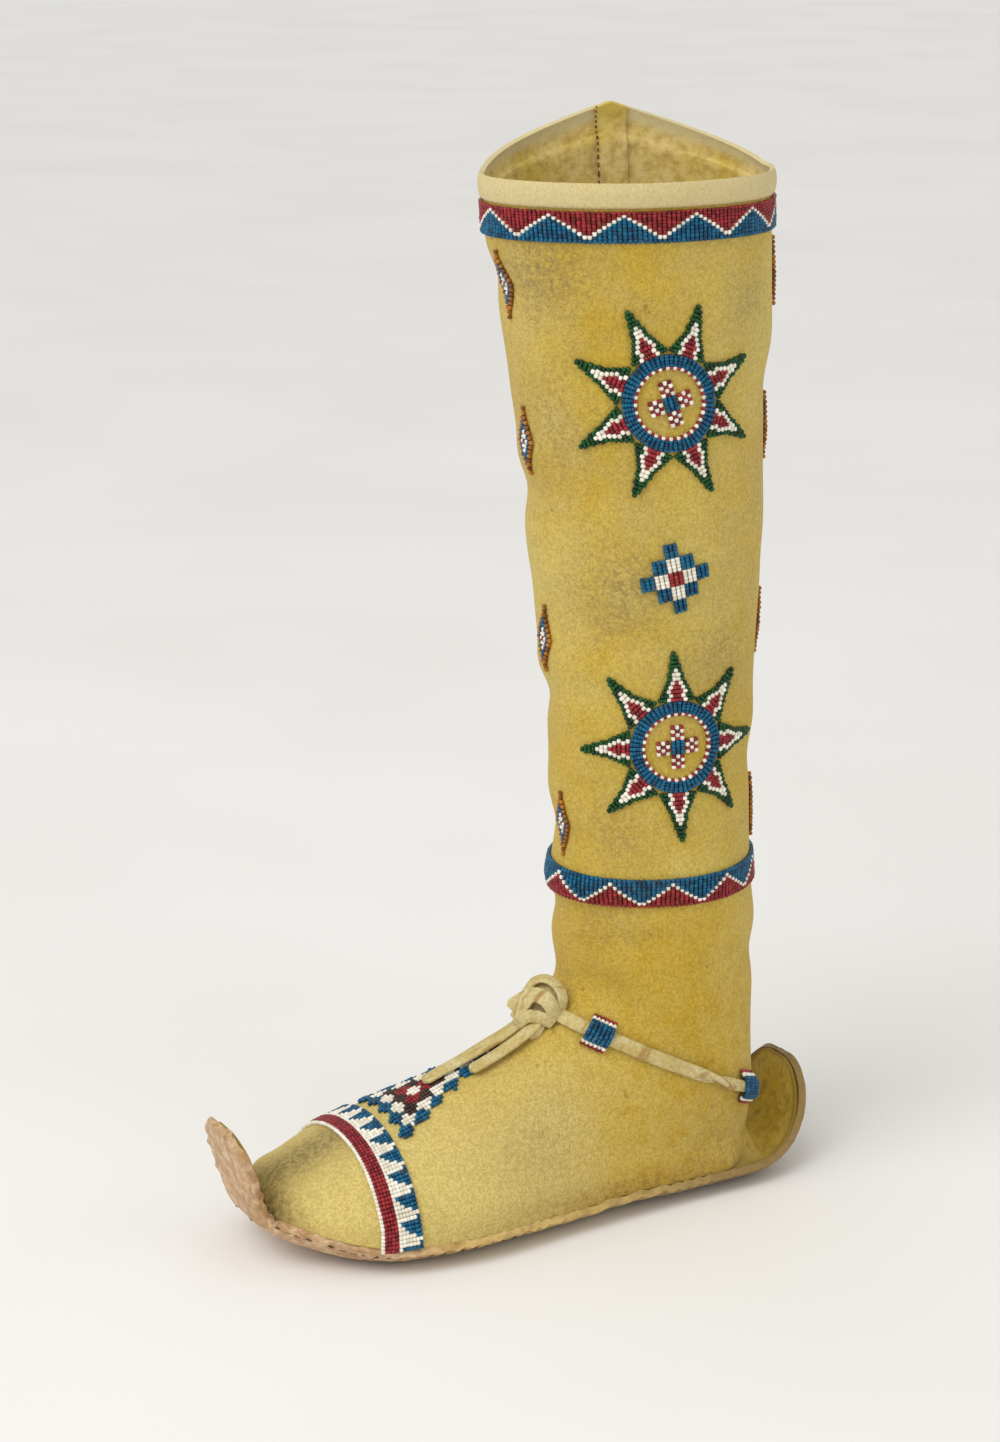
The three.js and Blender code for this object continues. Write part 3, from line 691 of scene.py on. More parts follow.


# Flesh side of the hide inside the shaft, with painted shade darkening it further down inside
INSIDE_TONES = tones(
    yellow=(208, 184, 82), pale=(224, 202, 136), stain=(168, 132, 52),
    cuff=(218, 204, 158), deep=(120, 96, 52),
)


def make_inside():
    material, tree, shader, place = new_material("hide flesh side")
    nap = use_group(tree, NAP, Vector=place, Grain=420.0)
    patches = use_group(tree, PATCHES, Vector=place, Scale=24.0)
    axes = axis_values(tree, place)
    colour = mixed(tree, patches["Broad"], INSIDE_TONES["yellow"], INSIDE_TONES["pale"])
    colour = layered(tree, colour, INSIDE_TONES, {
        "stain": times(tree, patches["Small"], 0.6),
        "cuff": fade(tree, attribute(tree, "rim"), 0.35, 0.8, 0.0, 0.9),
        # Painted shade: the inside grows darker further down the shaft
        "deep": fade(tree, axes["Z"], 0.33, 0.1, 0.0, 0.5),
    })
    roughness = fade(tree, nap["Speckle"], 0.0, 1.0, 0.98, 0.85)
    set_shader(tree, shader, colour, roughness, {"Specular IOR Level": 0.2})
    set_bump(tree, shader, nap["Height"], 0.7, 0.0006)
    return material


# Stiff rawhide: pale and pinkish in front, brown toward the heel, darker along the bottom from soil and
# painted shade on the sole's lower edge
RAWHIDE_TONES = tones(
    front_dark=(178, 136, 88), front_pale=(228, 196, 156),
    middle_dark=(188, 154, 78), middle_pale=(216, 188, 118),
    heel=(128, 102, 50), soil=(112, 84, 46), tread=(104, 82, 54),
)


def make_rawhide():
    material, tree, shader, place = new_material("rawhide")
    streaks = noise(tree, stretched(tree, place, (1.0, 0.22, 1.0)), 210.0, 6.0, 0.65)
    patches = use_group(tree, PATCHES, Vector=place, Scale=26.0)
    axes = axis_values(tree, place)
    tone = RAWHIDE_TONES
    front = mixed(tree, fade(tree, streaks, 0.35, 0.7), tone["front_dark"], tone["front_pale"])
    middle = mixed(tree, fade(tree, streaks, 0.3, 0.75), tone["middle_dark"], tone["middle_pale"])
    colour = mixed(tree, fade(tree, axes["Y"], -0.085, -0.04), front, middle)
    colour = layered(tree, colour, tone, {
        "heel": fade(tree, axes["Y"], 0.0, 0.09, 0.0, 0.85),
        "soil": times(tree, patches["Small"], 0.45),
        # Darker within 4 mm of the ground: soil on the underside, and painted shade along the sole's lower
        # edge
        "tread": fade(tree, axes["Z"], 0.004, 0.0005, 0.0, 0.6),
    })
    roughness = fade(tree, streaks, 0.3, 0.7, 0.45, 0.68)
    set_shader(tree, shader, colour, roughness, {"Coat Weight": 0.08})
    set_bump(tree, shader, streaks, 0.8, 0.0012)
    return material


# Hide facing on tab and lip, stained toward its foot and round its edge
FACING_TONES = tones(yellow=(200, 170, 56), pale=(206, 182, 96), stain=(122, 98, 40))


def make_facing():
    material, tree, shader, place = new_material("facing hide")
    nap = use_group(tree, NAP, Vector=place, Grain=520.0)
    patches = use_group(tree, PATCHES, Vector=place, Scale=34.0)
    axes = axis_values(tree, place)
    toe_half = fade(tree, axes["Y"], 0.0, -0.08, 0.0, 0.75)
    foot = times(tree, fade(tree, axes["Z"], 0.034, 0.016), toe_half)
    edge = fade(tree, attribute(tree, "edge"), 0.7, 1.0, 0.0, 0.7)
    stain = math_node(tree, "MAXIMUM", foot, times(tree, patches["Small"], 0.5))
    stain = math_node(tree, "MAXIMUM", stain, edge)
    colour = mixed(tree, patches["Broad"], FACING_TONES["yellow"], FACING_TONES["pale"])
    colour = mixed(tree, stain, colour, FACING_TONES["stain"])
    roughness = fade(tree, nap["Speckle"], 0.0, 1.0, 0.96, 0.84)
    set_shader(tree, shader, colour, roughness, {"Specular IOR Level": 0.25})
    set_bump(tree, shader, nap["Height"], 0.55, 0.0005)
    return material


# Pale thong leather with a dry, slightly fibrous face
THONG_TONES = tones(pale=(212, 198, 146), tan=(198, 178, 112), stain=(150, 124, 66), streaks=(156, 112, 52))


def make_thong():
    material, tree, shader, place = new_material("thong leather")
    nap = use_group(tree, NAP, Vector=place, Grain=900.0)
    patches = use_group(tree, PATCHES, Vector=place, Scale=70.0)
    streaks = noise(tree, stretched(tree, place, (1.0, 0.14, 0.14)), 420.0, 3.0, 0.6)
    colour = mixed(tree, patches["Broad"], THONG_TONES["pale"], THONG_TONES["tan"])
    colour = layered(tree, colour, THONG_TONES, {
        "stain": times(tree, patches["Small"], 0.45),
        "streaks": fade(tree, streaks, 0.51, 0.66, 0.0, 0.7),
    })
    roughness = fade(tree, nap["Speckle"], 0.0, 1.0, 0.92, 0.76)
    set_shader(tree, shader, colour, roughness, {"Specular IOR Level": 0.3})
    set_bump(tree, shader, nap["Height"], 0.5, 0.0004)
    return material


# Glass seed beads, each a little lighter or darker than the next
BEAD_SHADER = {"Specular IOR Level": 0.3, "Coat Weight": 0.12, "Coat Roughness": 0.1}
DUST_TONE = linear(150, 132, 92)


def make_bead(name, dark, light, smooth):
    material, tree, shader, place = new_material(name)
    dust = use_group(tree, DUST, Vector=place)["Dust"]
    colour = mixed(tree, attribute(tree, "shade"), linear(*dark), linear(*light))
    colour = mixed(tree, dust, colour, DUST_TONE)
    roughness = fade(tree, dust, 0.0, DUST_MOST, smooth, smooth + DUST_ROUGHER)
    set_shader(tree, shader, colour, roughness, BEAD_SHADER)
    return material


HIDE = make_hide()
INSIDE = make_inside()
RAWHIDE = make_rawhide()
FACING_HIDE = make_facing()
THONG = make_thong()
BEADS = {
    "B": make_bead("blue glass", (0, 54, 84), (0, 100, 138), 0.22),
    "R": make_bead("red glass", (102, 14, 22), (160, 42, 48), 0.24),
    "W": make_bead("white glass", (218, 210, 190), (246, 242, 230), 0.26),
    "G": make_bead("green glass", (0, 40, 12), (4, 78, 28), 0.20),
    "A": make_bead("amber glass", (112, 62, 8), (182, 116, 20), 0.20),
    "D": make_bead("dark brown glass", (38, 26, 22), (74, 52, 44), 0.22),
    "S": make_bead("dark sinew", (70, 52, 28), (120, 92, 52), 0.8),
}


# Mesh helpers
SEAM_REACH = 0.00002
SHARP = math.radians(50)
THICK_EDGE_STEPS = 3
THIN_EDGE_STEPS = 2


# Grid over a unit square, laid in place by a function of its row and column shares
def grid_sheet(rows, columns, place):
    mesh = bmesh.new()
    bmesh.ops.create_grid(mesh, x_segments=columns, y_segments=rows, size=0.5)
    shares = np.array([v.co[:2] for v in mesh.verts]) + 0.5
    for vert, point in zip(mesh.verts, in_frame(place(shares[:, 1], shares[:, 0]))):
        vert.co = point
    return mesh, shares


# Places across the sole from rim to rim, closer together toward the rims
def across_sole(column):
    return np.sin((column - 0.5) * np.pi)


def mark(mesh, name, values):
    layer = mesh.verts.layers.float.new(name)
    for vert, value in zip(mesh.verts, values):
        vert[layer] = value


def close_seams(mesh):
    bmesh.ops.remove_doubles(mesh, verts=mesh.verts, dist=SEAM_REACH)
    bmesh.ops.recalc_face_normals(mesh, faces=mesh.faces)


# Rounds the sharp edges that lie above a height
def bevel_sharp(mesh, width, segments, above=-1):
    sharp = [
        edge for edge in mesh.edges
        if len(edge.link_faces) == 2 and edge.calc_face_angle(0) > SHARP and edge.verts[0].co.z > above * MM
    ]
    bmesh.ops.bevel(
        mesh, geom=sharp, offset=width * MM, offset_type="OFFSET", segments=segments,
        profile=0.5, affect="EDGES", material=-1, clamp_overlap=True,
    )


# An open sheet is turned to one side, made thick on the other and rounded at its edges
def thicken(mesh, direction, thickness, rounding, segments):
    close_seams(mesh)
    total = sum((face.normal * face.calc_area() for face in mesh.faces), Vector())
    if total.dot(Vector(direction)) < 0:
        bmesh.ops.reverse_faces(mesh, faces=mesh.faces)
    bmesh.ops.solidify(mesh, geom=mesh.faces[:], thickness=thickness * MM)
    bevel_sharp(mesh, rounding, segments)


def as_data(mesh, name):
    data = bpy.data.meshes.new(name)
    mesh.to_mesh(data)
    mesh.free()
    return data


def add_object(name, data):
    made = bpy.data.objects.new(name, data)
    bpy.context.collection.objects.link(made)
    return made


def finish_piece(data, name, materials, nodes):
    for material in materials:
        data.materials.append(material)
    data.shade_smooth()
    piece = add_object(name, data)
    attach(piece, "root")
    if nodes:
        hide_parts(*nodes)
    return piece


def mesh_piece(mesh, name, materials, nodes):
    return finish_piece(as_data(mesh, name), name, materials, nodes)


SECTION_POINTS = 14
STRIP_SQUARE = 0.6
STRIP_BULGE = 0.8


# Flat strip with rounded edges swept along a path, facing along the given normals
def strip_sheet(path, facing, width, thickness, closed, segments):
    if closed:
        along = unit(np.roll(path, -1, axis=0) - np.roll(path, 1, axis=0))
    else:
        along = unit(np.gradient(path, axis=0))
    facing = unit(facing - along * np.sum(facing * along, axis=1, keepdims=True))
    side = np.cross(along, facing) * np.broadcast_to(width, len(path))[:, None] / 2
    facing = facing * np.broadcast_to(thickness, len(path))[:, None] / 2
    lines = np.stack([path, side, facing])
    if closed:
        lines = np.concatenate([lines, lines[:, :1]], axis=1)
    stops = np.linspace(0, 1, lines.shape[1])

    def place(row, column):
        turn = 2 * np.pi * column
        across = signed_power(np.cos(turn), STRIP_SQUARE)[:, None]
        out = signed_power(np.sin(turn), STRIP_BULGE)[:, None]
        middle, half, rise = (along_line(row, stops, line) for line in lines)
        return middle + half * across + rise * out

    mesh, _ = grid_sheet(segments, SECTION_POINTS, place)
    close_seams(mesh)
    if not closed:
        bmesh.ops.holes_fill(mesh, edges=[e for e in mesh.edges if e.is_boundary])
        bmesh.ops.recalc_face_normals(mesh, faces=mesh.faces)
    return mesh


# Ankle tie's middle line: where a plane falling toward the heel cuts the skin
TIE_LOW = GAP + 0.1
TIE_TOP = TIE_LOW + TIE_THICKNESS
TIE_FRONT_HIGH = 0.90 * INSTEP_HEIGHT
TIE_BACK_HIGH = 0.39 * INSTEP_HEIGHT
TIE_RUN = 0.41 * FOOT_LENGTH
TIE_FALL = (TIE_FRONT_HIGH - TIE_BACK_HIGH) / TIE_RUN
TIE_LOWEST = 5.0
TIE_HIGHEST = ANKLE + 2.0
TIE_HALVINGS = 40
TIE_STEPS = 240


def tie_section(angles):
    low = np.full(len(angles), TIE_LOWEST)
    high = np.full(len(angles), TIE_HIGHEST)
    for _ in range(TIE_HALVINGS):
        middle = (low + high) / 2
        point = skin(middle, angles)
        below = point[:, 2] < TIE_FRONT_HIGH - (point[:, 1] + TIE_RUN) * TIE_FALL
        low = np.where(below, middle, low)
        high = np.where(below, high, middle)
    return (low + high) / 2


TIE_ANGLES = np.linspace(-np.pi, np.pi, TIE_STEPS, endpoint=False)
TIE_SECTIONS = tie_section(TIE_ANGLES)
KNOT_AT = float(tie_section(np.array([0.0]))[0])

# Loose ends of the tie first, because they are cords
BEAD_TOP = GAP + 1.4
END_REST = BEAD_TOP + GAP + END_THICKNESS / 2
END_LIFT = 1.0
END_FROM = -KNOT_HEIGHT / 2 - 3 * GAP
END_POINTS = 72
END_SEGMENTS = 90
END_TIP = 0.94
TIP_LEAST = 0.03
# Name, places beside the middle at the knot and at the tip, length and width
ENDS = [
    ("tie_end_long", 0.4, 0.8, 54, 7.0),
    ("tie_end_short", 7.2, 8.6, 36, 5.8),
]


# Width shares along a thong whose far end is cut round
def round_tip(share, start):
    into = np.clip((share - start) / (1 - start), 0, 1)
    return np.sqrt(np.clip(1 - into**2, TIP_LEAST, 1))


def make_tie_ends():
    for name, start, stop, length, wide in ENDS:
        share = np.linspace(0, 1, END_POINTS)
        down = END_FROM - share * length
        at, angle = walk((KNOT_AT, 0.0), start + (stop - start) * share, down)
        path = over_hide(at, angle, END_REST + END_LIFT * (1 - share))
        width = wide * round_tip(share, END_TIP)
        mesh = strip_sheet(path, outward(at, angle), width, END_THICKNESS, False, END_SEGMENTS)
        piece = mesh_piece(mesh, f"thong_{name}", [THONG], [name])


make_tie_ends()

# Upper: the worn skin from toe to collar, opened where it meets the sole
CUFF_FROM = section_at_height(SHAFT_HEIGHT - CUFF_HEIGHT, math.pi / 2)
CUFF_MARGIN = 0.05
CUFF_STEP_RUN = 0.07
CUFF_BULGE = 0.7
CUFF_TUCK = 0.5
CUFF_TUCK_POWER = 6
COLLAR_ROUND = 0.8
FOOT_ROWS = 120
SHAFT_ROWS = 104
CUFF_ROWS = 16
UPPER_COLUMNS = 150
EDGE_STEPS = 900
ROW_STEPS = 720
EDGE_SINK = 0.4
HEEL_SECTION = 9.0
HEEL_OPENING = math.radians(143)
HEEL_CLOSING = math.radians(24.5)
NOSE_ROWS = 5
NOSE_REACH = 3.0
NOSE_DROP = 6.0
NOSE_ROOM = 4.0
SEAM_FROM = ANKLE - 3
TOE_RIDGE_ASIDE = -4
TOE_RIDGE_HALF = 13
UPPER_ROWS = np.concatenate([
    np.linspace(TOE, ANKLE, FOOT_ROWS, endpoint=False),
    np.linspace(ANKLE, CUFF_FROM - CUFF_MARGIN, SHAFT_ROWS, endpoint=False),
    np.linspace(CUFF_FROM - CUFF_MARGIN, COLLAR, CUFF_ROWS),
])


# Angles of each row's columns, evenly spread between the two places where it meets the sole
def row_angles(rows, columns):
    fine = np.linspace(0, np.pi, EDGE_STEPS)
    spread = []
    for at in rows:
        limits = []
        for side in (-1, 1):
            points = skin(at, side * fine)
            clear = points[:, 2] - sole_height(points) + EDGE_SINK
            meets = np.flatnonzero(clear < 0)
            limit = np.pi
            if len(meets) and meets[0] > 0:
                k = meets[0]
                share = clear[k - 1] / (clear[k - 1] - clear[k])
                limit = fine[k - 1] + share * (fine[k] - fine[k - 1])
            most = HEEL_OPENING + HEEL_CLOSING * max(at - HEEL_SECTION, 0)
            limits.append(side * min(limit, most))
        angles = np.linspace(limits[0], limits[1], ROW_STEPS)
        run = lengths_along(skin(at, angles))
        spread.append(np.interp(np.linspace(0, run[-1], columns + 1), run, angles))
    return np.array(spread)


def cuff_share(at):
    return ease((at - CUFF_FROM) / CUFF_STEP_RUN)


def up_cuff(at):
    return np.clip((at - CUFF_FROM) / (COLLAR - CUFF_FROM), 0, 1)


def cuff_roll(at):
    bulge = CUFF_BULGE * np.sin(np.pi * up_cuff(at))
    return cuff_share(at) * (CUFF_STEP + bulge) - CUFF_TUCK * up_cuff(at) ** CUFF_TUCK_POWER


# Grey rubbed places, by section, angle, size and strength
SMUDGES = table("section degrees size strength", [
    [22.0, 26, 20, 0.8],
    [18.6, 52, 20, 0.7],
    [17.8, 104, 16, 0.55],
    [20.3, 18, 24, 0.5],
    [21.6, 118, 14, 0.4],
    [15.6, 46, 18, 0.4],
    [13.2, 34, 20, 0.45],
    [9.6, 118, 24, 0.45],
    [6.4, 62, 22, 0.35],
    [19.6, -84, 22, 0.6],
    [15.2, -128, 24, 0.5],
])


def smudges(points):
    total = np.zeros(len(points))
    for section, degrees, size, strength in zip(*SMUDGES.values()):
        away = np.linalg.norm(points - skin(section, math.radians(degrees)), axis=1)
        total = np.maximum(total, strength * np.exp(-(away / size) ** 2))
    return total


def make_upper():
    rows = len(UPPER_ROWS) - 1 + NOSE_ROWS
    angles = row_angles(UPPER_ROWS, UPPER_COLUMNS)

    def spots(row, column):
        line = np.rint(row * rows).astype(int) - NOSE_ROWS
        pillar = np.rint(column * UPPER_COLUMNS).astype(int)
        skin_line = np.maximum(line, 0)
        return line, UPPER_ROWS[skin_line], angles[skin_line, pillar]

    def place(row, column):
        line, at, angle = spots(row, column)
        points = over_hide(at, angle, cuff_roll(at))
        bend = np.clip(-line / NOSE_ROWS, 0, 1) * np.pi / 2
        room = np.clip((points[:, 2] - sole_height(points)) / NOSE_ROOM, 0, 1)
        points[:, 1] -= NOSE_REACH * room * np.sin(bend)
        points[:, 2] -= NOSE_DROP * room * (1 - np.cos(bend))
        return points

    mesh, shares = grid_sheet(rows, UPPER_COLUMNS, place)
    _, at, angle = spots(shares[:, 1], shares[:, 0])
    points = skin(at, angle)
    mark(mesh, "above_sole", points[:, 2] - sole_height(points))
    mark(mesh, "cuff", cuff_share(at))
    mark(mesh, "rim", up_cuff(at))
    mark(mesh, "seam", np.where(at > SEAM_FROM, from_peak(angle) * COLLAR_WIDTH / 2, COLLAR_DEPTH))
    mark(mesh, "toe_ridge", np.exp(-((points[:, 0] - TOE_RIDGE_ASIDE) / TOE_RIDGE_HALF) ** 2))
    mark(mesh, "smudge", smudges(points))
    close_seams(mesh)
    outer = set(mesh.faces)
    bmesh.ops.solidify(mesh, geom=mesh.faces[:], thickness=WALL * MM)
    for face in mesh.faces:
        face.material_index = 0 if face in outer else 1
    bevel_sharp(mesh, COLLAR_ROUND, THICK_EDGE_STEPS, SHAFT_HEIGHT - CUFF_HEIGHT)
    return mesh_piece(mesh, "hide_upper", [HIDE, INSIDE], ["upper"])


make_upper()

# Seam allowance inside the shaft, under the collar's peak
STRIP_WIDTH = 11
STRIP_FROM = 17.0
STRIP_TO = COLLAR - 0.03
STRIP_THICKNESS = 1.4
STRIP_ROUND = 0.25
STRIP_ROWS = 60
STRIP_COLUMNS = 6


def make_seam_strip():
    def place(row, column):
        at = STRIP_FROM + (STRIP_TO - STRIP_FROM) * row
        angle = PEAK_ANGLE + (column - 0.5) * STRIP_WIDTH / (COLLAR_WIDTH / 2)
        return over_hide(at, angle, cuff_roll(at) - WALL - STRIP_THICKNESS)

    mesh, _ = grid_sheet(STRIP_ROWS, STRIP_COLUMNS, place)
    thicken(mesh, -outward(COLLAR, PEAK_ANGLE), STRIP_THICKNESS, STRIP_ROUND, THIN_EDGE_STEPS)
    return mesh_piece(mesh, "hide_seam_allowance", [INSIDE], [])


make_seam_strip()

# Rawhide sole with its curled rim, toe tab and heel lip
SOLE_ROWS = 190
SOLE_COLUMNS = 56
SOLE_ROUND = 1.0
RIM_WAVE = 0.42
RIM_WAVE_CURL = 3
RIM_SCALLOP = 5.8
SCALLOP_AT_HEEL = 0.12
SCALLOP_FROM = 10
SCALLOP_RUN = 60
SCALLOP_RISE = 0.8
SCALLOP_RISE_TO = 205
SCALLOP_RISE_RUN = 20
RIM_GNARL = 0.34
GNARL_FROM = 165
GNARL_RUN = 35
GNARLS = table("length lean share", [
    [1.4, 2, 1.0],
    [0.83, 5, 0.7],
])


def make_sole():
    def place(row, column):
        at = row * LAST_STATION
        share = across_sole(column)
        curl = rim_share(share) ** RIM_WAVE_CURL
        run = np.interp(at, STATIONS, STATION_RUN)
        forward = -sole_spine(at)[:, 1]
        strength = SCALLOP_AT_HEEL + (1 - SCALLOP_AT_HEEL) * ease((forward - SCALLOP_FROM) / SCALLOP_RUN)
        scallop = RIM_WAVE * strength * np.sin(2 * np.pi * run / RIM_SCALLOP + share)
        gnarl = np.zeros(len(at))
        for length, lean, part in zip(*GNARLS.values()):
            gnarl += part * np.sin(run / length + lean * share)
        wave = scallop + RIM_GNARL * gnarl * ease((forward - GNARL_FROM) / GNARL_RUN)
        points = sole_face(at, share) + sole_normal(at, share) * (wave * curl)[:, None]
        behind_toe = 1 - ease((forward - SCALLOP_RISE_TO) / SCALLOP_RISE_RUN)
        points[:, 2] += SCALLOP_RISE * scallop * curl * behind_toe
        return points

    mesh, _ = grid_sheet(SOLE_ROWS, SOLE_COLUMNS, place)
    thicken(mesh, (0, 0, 1), SOLE_THICKNESS, SOLE_ROUND, THICK_EDGE_STEPS)
    return mesh_piece(mesh, "rawhide_sole", [RAWHIDE], ["sole"])


make_sole()

# Thin hide faces on toe tab and heel lip: tip, start of the bend, root and spread toward the rim
FACING_TOP = 1.5
FACING_WIDTH = 0.88
FACING_THINS = 0.9
FACING_ROUND = 0.5
FACING_ROWS = 70
FACING_COLUMNS = 40
FACINGS = [
    ("toe_tab_facing", 23.6, 21.4, 19.2, -0.16),
    ("heel_lip_facing", 0.35, 2.0, 8.8, 0.09),
]
SPREAD_PACE = 3
TIP_EDGE_PACE = 4
TOE_RISE = 5.0
TOE_RISE_POWER = 3
TOE_EDGE_POWER = 4
HEEL_RISE = 24.0
HEEL_RISE_POWER = 2.2
HEEL_EDGE_POWER = 6
HEEL_REACH = 13.0
HEEL_HALF_WIDTH = 35.0
HEEL_HALF_LENGTH = 42.0
HEEL_MIDDLE = 43.5
HEEL_LEAST_RATIO = 0.3
HEEL_INSIDE = 1.6
HEEL_TAPER = 0.9
HEEL_SINK = 1.5


# Distance of a point outside the round of the heel
def clear_of_heel(points):
    aside = points[:, 0]
    behind = -points[:, 1] - HEEL_MIDDLE
    ratio = np.hypot(aside / HEEL_HALF_WIDTH, behind / HEEL_HALF_LENGTH)
    return np.hypot(aside, behind) * (1 - 1 / np.maximum(ratio, HEEL_LEAST_RATIO))


# The heel's face rises into the upper all round the heel
def heel_rise(face, into, across):
    away = np.maximum(clear_of_heel(face), -HEEL_INSIDE)
    near = np.maximum(1 - away / HEEL_REACH, 0) ** HEEL_RISE_POWER
    taper = ease((into - HEEL_TAPER) / (1 - HEEL_TAPER))
    return HEEL_RISE * near * (1 - across**HEEL_EDGE_POWER) * (1 - taper) - HEEL_SINK * taper


# The toe's face rises only at its root
def toe_rise(into, across):
    return TOE_RISE * into**TOE_RISE_POWER * (1 - across**TOE_EDGE_POWER)


def make_facing_piece(node, tip, bend, root, spread):
    at_heel = root > bend

    def spots(row, column):
        at = tip + (root - tip) * row
        into = np.clip((at - bend) / (root - bend), 0, 1)
        across = across_sole(column)
        share = across * (FACING_WIDTH + spread * np.minimum(SPREAD_PACE * into, 1))
        return at, into, across, share

    def place(row, column):
        at, into, across, share = spots(row, column)
        face = sole_face(at, share)
        rise = heel_rise(face, into, across) if at_heel else toe_rise(into, across)
        lift = FACING_TOP * (1 - FACING_THINS * into) + rise
        return face + sole_normal(at, share) * lift[:, None]

    mesh, shares = grid_sheet(FACING_ROWS, FACING_COLUMNS, place)
    at, _, across, share = spots(shares[:, 1], shares[:, 0])
    mark(mesh, "edge", np.maximum(np.abs(across), 1 - TIP_EDGE_PACE * shares[:, 1]))
    if at_heel:
        inside = clear_of_heel(sole_face(at, share)) < -HEEL_INSIDE
        hidden = {vert for vert, within in zip(mesh.verts, inside) if within}
        covered = [face for face in mesh.faces if hidden.issuperset(face.verts)]
        bmesh.ops.delete(mesh, geom=covered, context="FACES")
    front = sole_normal(np.array([bend]), np.array([0.0]))[0]
    thicken(mesh, front, FACING, FACING_ROUND, THIN_EDGE_STEPS)
    return mesh_piece(mesh, f"hide_{node}", [FACING_HIDE], [node])


for facing_row in FACINGS:
    make_facing_piece(*facing_row)


# Ankle tie lying round the ankle: flat in front, twisted over at the side, rounder behind
TIE_TWIST_AT = 0.56
TIE_TWIST_REACH = 0.075
TIE_TWIST_LIFT = 0.5
TIE_SHARES = table("back width thickness", [
    [0, 1, 0.8],
    [0.4, 1.05, 0.75],
    [0.62, 0.85, 0.95],
    [0.85, 0.68, 1.1],
    [1, 0.72, 1.1],
])


def make_tie():
    facing = outward(TIE_SECTIONS, TIE_ANGLES)
    back = np.abs(TIE_ANGLES) / np.pi
    turned = (back - TIE_TWIST_AT) / TIE_TWIST_REACH
    middle = TIE_LOW + TIE_THICKNESS / 2 + TIE_TWIST_LIFT * np.exp(-turned**2)
    path = over_hide(TIE_SECTIONS, TIE_ANGLES, middle)
    along = unit(np.roll(path, -1, axis=0) - np.roll(path, 1, axis=0))
    twist = np.pi * ease((turned + 1) / 2)
    facing = facing * np.cos(twist)[:, None] + np.cross(along, facing) * np.sin(twist)[:, None]
    width = TIE_WIDTH * np.interp(back, TIE_SHARES["back"], TIE_SHARES["width"])
    thickness = TIE_THICKNESS * np.interp(back, TIE_SHARES["back"], TIE_SHARES["thickness"])
    mesh = strip_sheet(path, facing, width, thickness, True, TIE_STEPS)
    return mesh_piece(mesh, "thong_ankle_tie", [THONG], ["ankle_tie"])


make_tie()

# Knot: thong wraps over a small core, by right, up and out from its middle
KNOT_REST = TIE_TOP + 2.8
KNOT_TURN = math.radians(45)
KNOT_ASIDE = 4.5
KNOT_CORE = (7.4, 10.2, 3.2)
KNOT_BACK = 6.0
KNOT_STRANDS = [
    (6.6, [
        (-3.4, -12.0, 0.4), (-4.4, -7.0, 3.8), (-4.4, -2.6, 6.0), (-2.2, 0.4, 7.2),
        (2.0, 1.6, 7.2), (5.6, 0.8, 5.2), (8.8, -1.6, 0.8),
    ]),
    (5.6, [
        (9.4, -3.6, 0.2), (5.4, -5.0, 3.4), (1.4, -7.2, 4.2), (-1.0, -10.2, 2.4), (-1.8, -13.0, -0.4),
    ]),
    (5.4, [
        (-7.4, -2.0, 0.2), (-7.8, 3.2, 2.0), (-5.6, 7.4, 3.6), (-0.8, 9.2, 4.2),
        (4.0, 8.2, 3.8), (7.4, 4.8, 2.2), (8.6, 1.0, -0.4),
    ]),
    (6.4, [(-4.6, 1.0, -0.4), (-7.0, -2.4, 0.2), (-8.4, -6.2, 0.0), (-9.4, -10.0, -1.0)]),
    (4.8, [(4.4, -4.6, -0.4), (6.0, -8.0, 0.4), (6.4, -11.4, -0.6), (6.2, -14.4, -1.8)]),
]
FIRST_LOOSE_STRAND = 3
LOOSE_TIP = 0.86
STRAND_THICKNESS = 2.0
STRAND_POINTS = 30
STRAND_SEGMENTS = 44
CORE_SIDES = 20
CORE_RINGS = 12


def make_knot():
    front = outward(KNOT_AT, 0.0)
    aside = np.array([1.0, 0, 0])
    up = -np.cross(aside, front)
    out = front * math.cos(KNOT_TURN) + aside * math.sin(KNOT_TURN)
    right = aside * math.cos(KNOT_TURN) - front * math.sin(KNOT_TURN)
    axes = np.stack([right, up, out])
    middle = over_hide(np.array([KNOT_AT]), np.array([0.0]), KNOT_REST)[0] + aside * KNOT_ASIDE
    knot = bmesh.new()
    core = bmesh.ops.create_uvsphere(knot, u_segments=CORE_SIDES, v_segments=CORE_RINGS, radius=1)
    for vert in core["verts"]:
        vert.co = in_frame((np.array(vert.co) * KNOT_CORE) @ axes + middle)
    for strand_place, (width, stops) in enumerate(KNOT_STRANDS):
        stops = np.array(stops, float)
        place = np.linspace(0, len(stops) - 1, STRAND_POINTS)
        line = np.stack([value_at(column, place) for column in stops.T], axis=-1)
        facing = (line + np.array([0, 0, KNOT_BACK])) @ axes
        if strand_place >= FIRST_LOOSE_STRAND:
            width = width * round_tip(np.linspace(0, 1, STRAND_POINTS), LOOSE_TIP)
        strand = strip_sheet(line @ axes + middle, facing, width, STRAND_THICKNESS, False, STRAND_SEGMENTS)
        data = as_data(strand, "strand")
        knot.from_mesh(data)
        bpy.data.meshes.remove(data)
    return mesh_piece(knot, "thong_tie_knot", [THONG], ["tie_knot"])


make_knot()

# Seed beads: one barrel, spun, then set along lanes
BEAD_WIDE = 1.85
BEAD_LANE = 1.9
BEAD_REST = 0.85
BEAD_PROFILE = [(0, -0.5), (0.4, -0.5), (0.5, -0.24), (0.5, 0.24), (0.4, 0.5), (0, 0.5)]
BEAD_SIDES = 8
BEAD_LONG = 1.02
BEAD_SEAM = 0.0001
LEAN_SPREAD = 0.06
REST_SPREAD = 0.05
GIRTH_SPREAD = 0.035
SEED = 7
chance = np.random.default_rng(SEED)


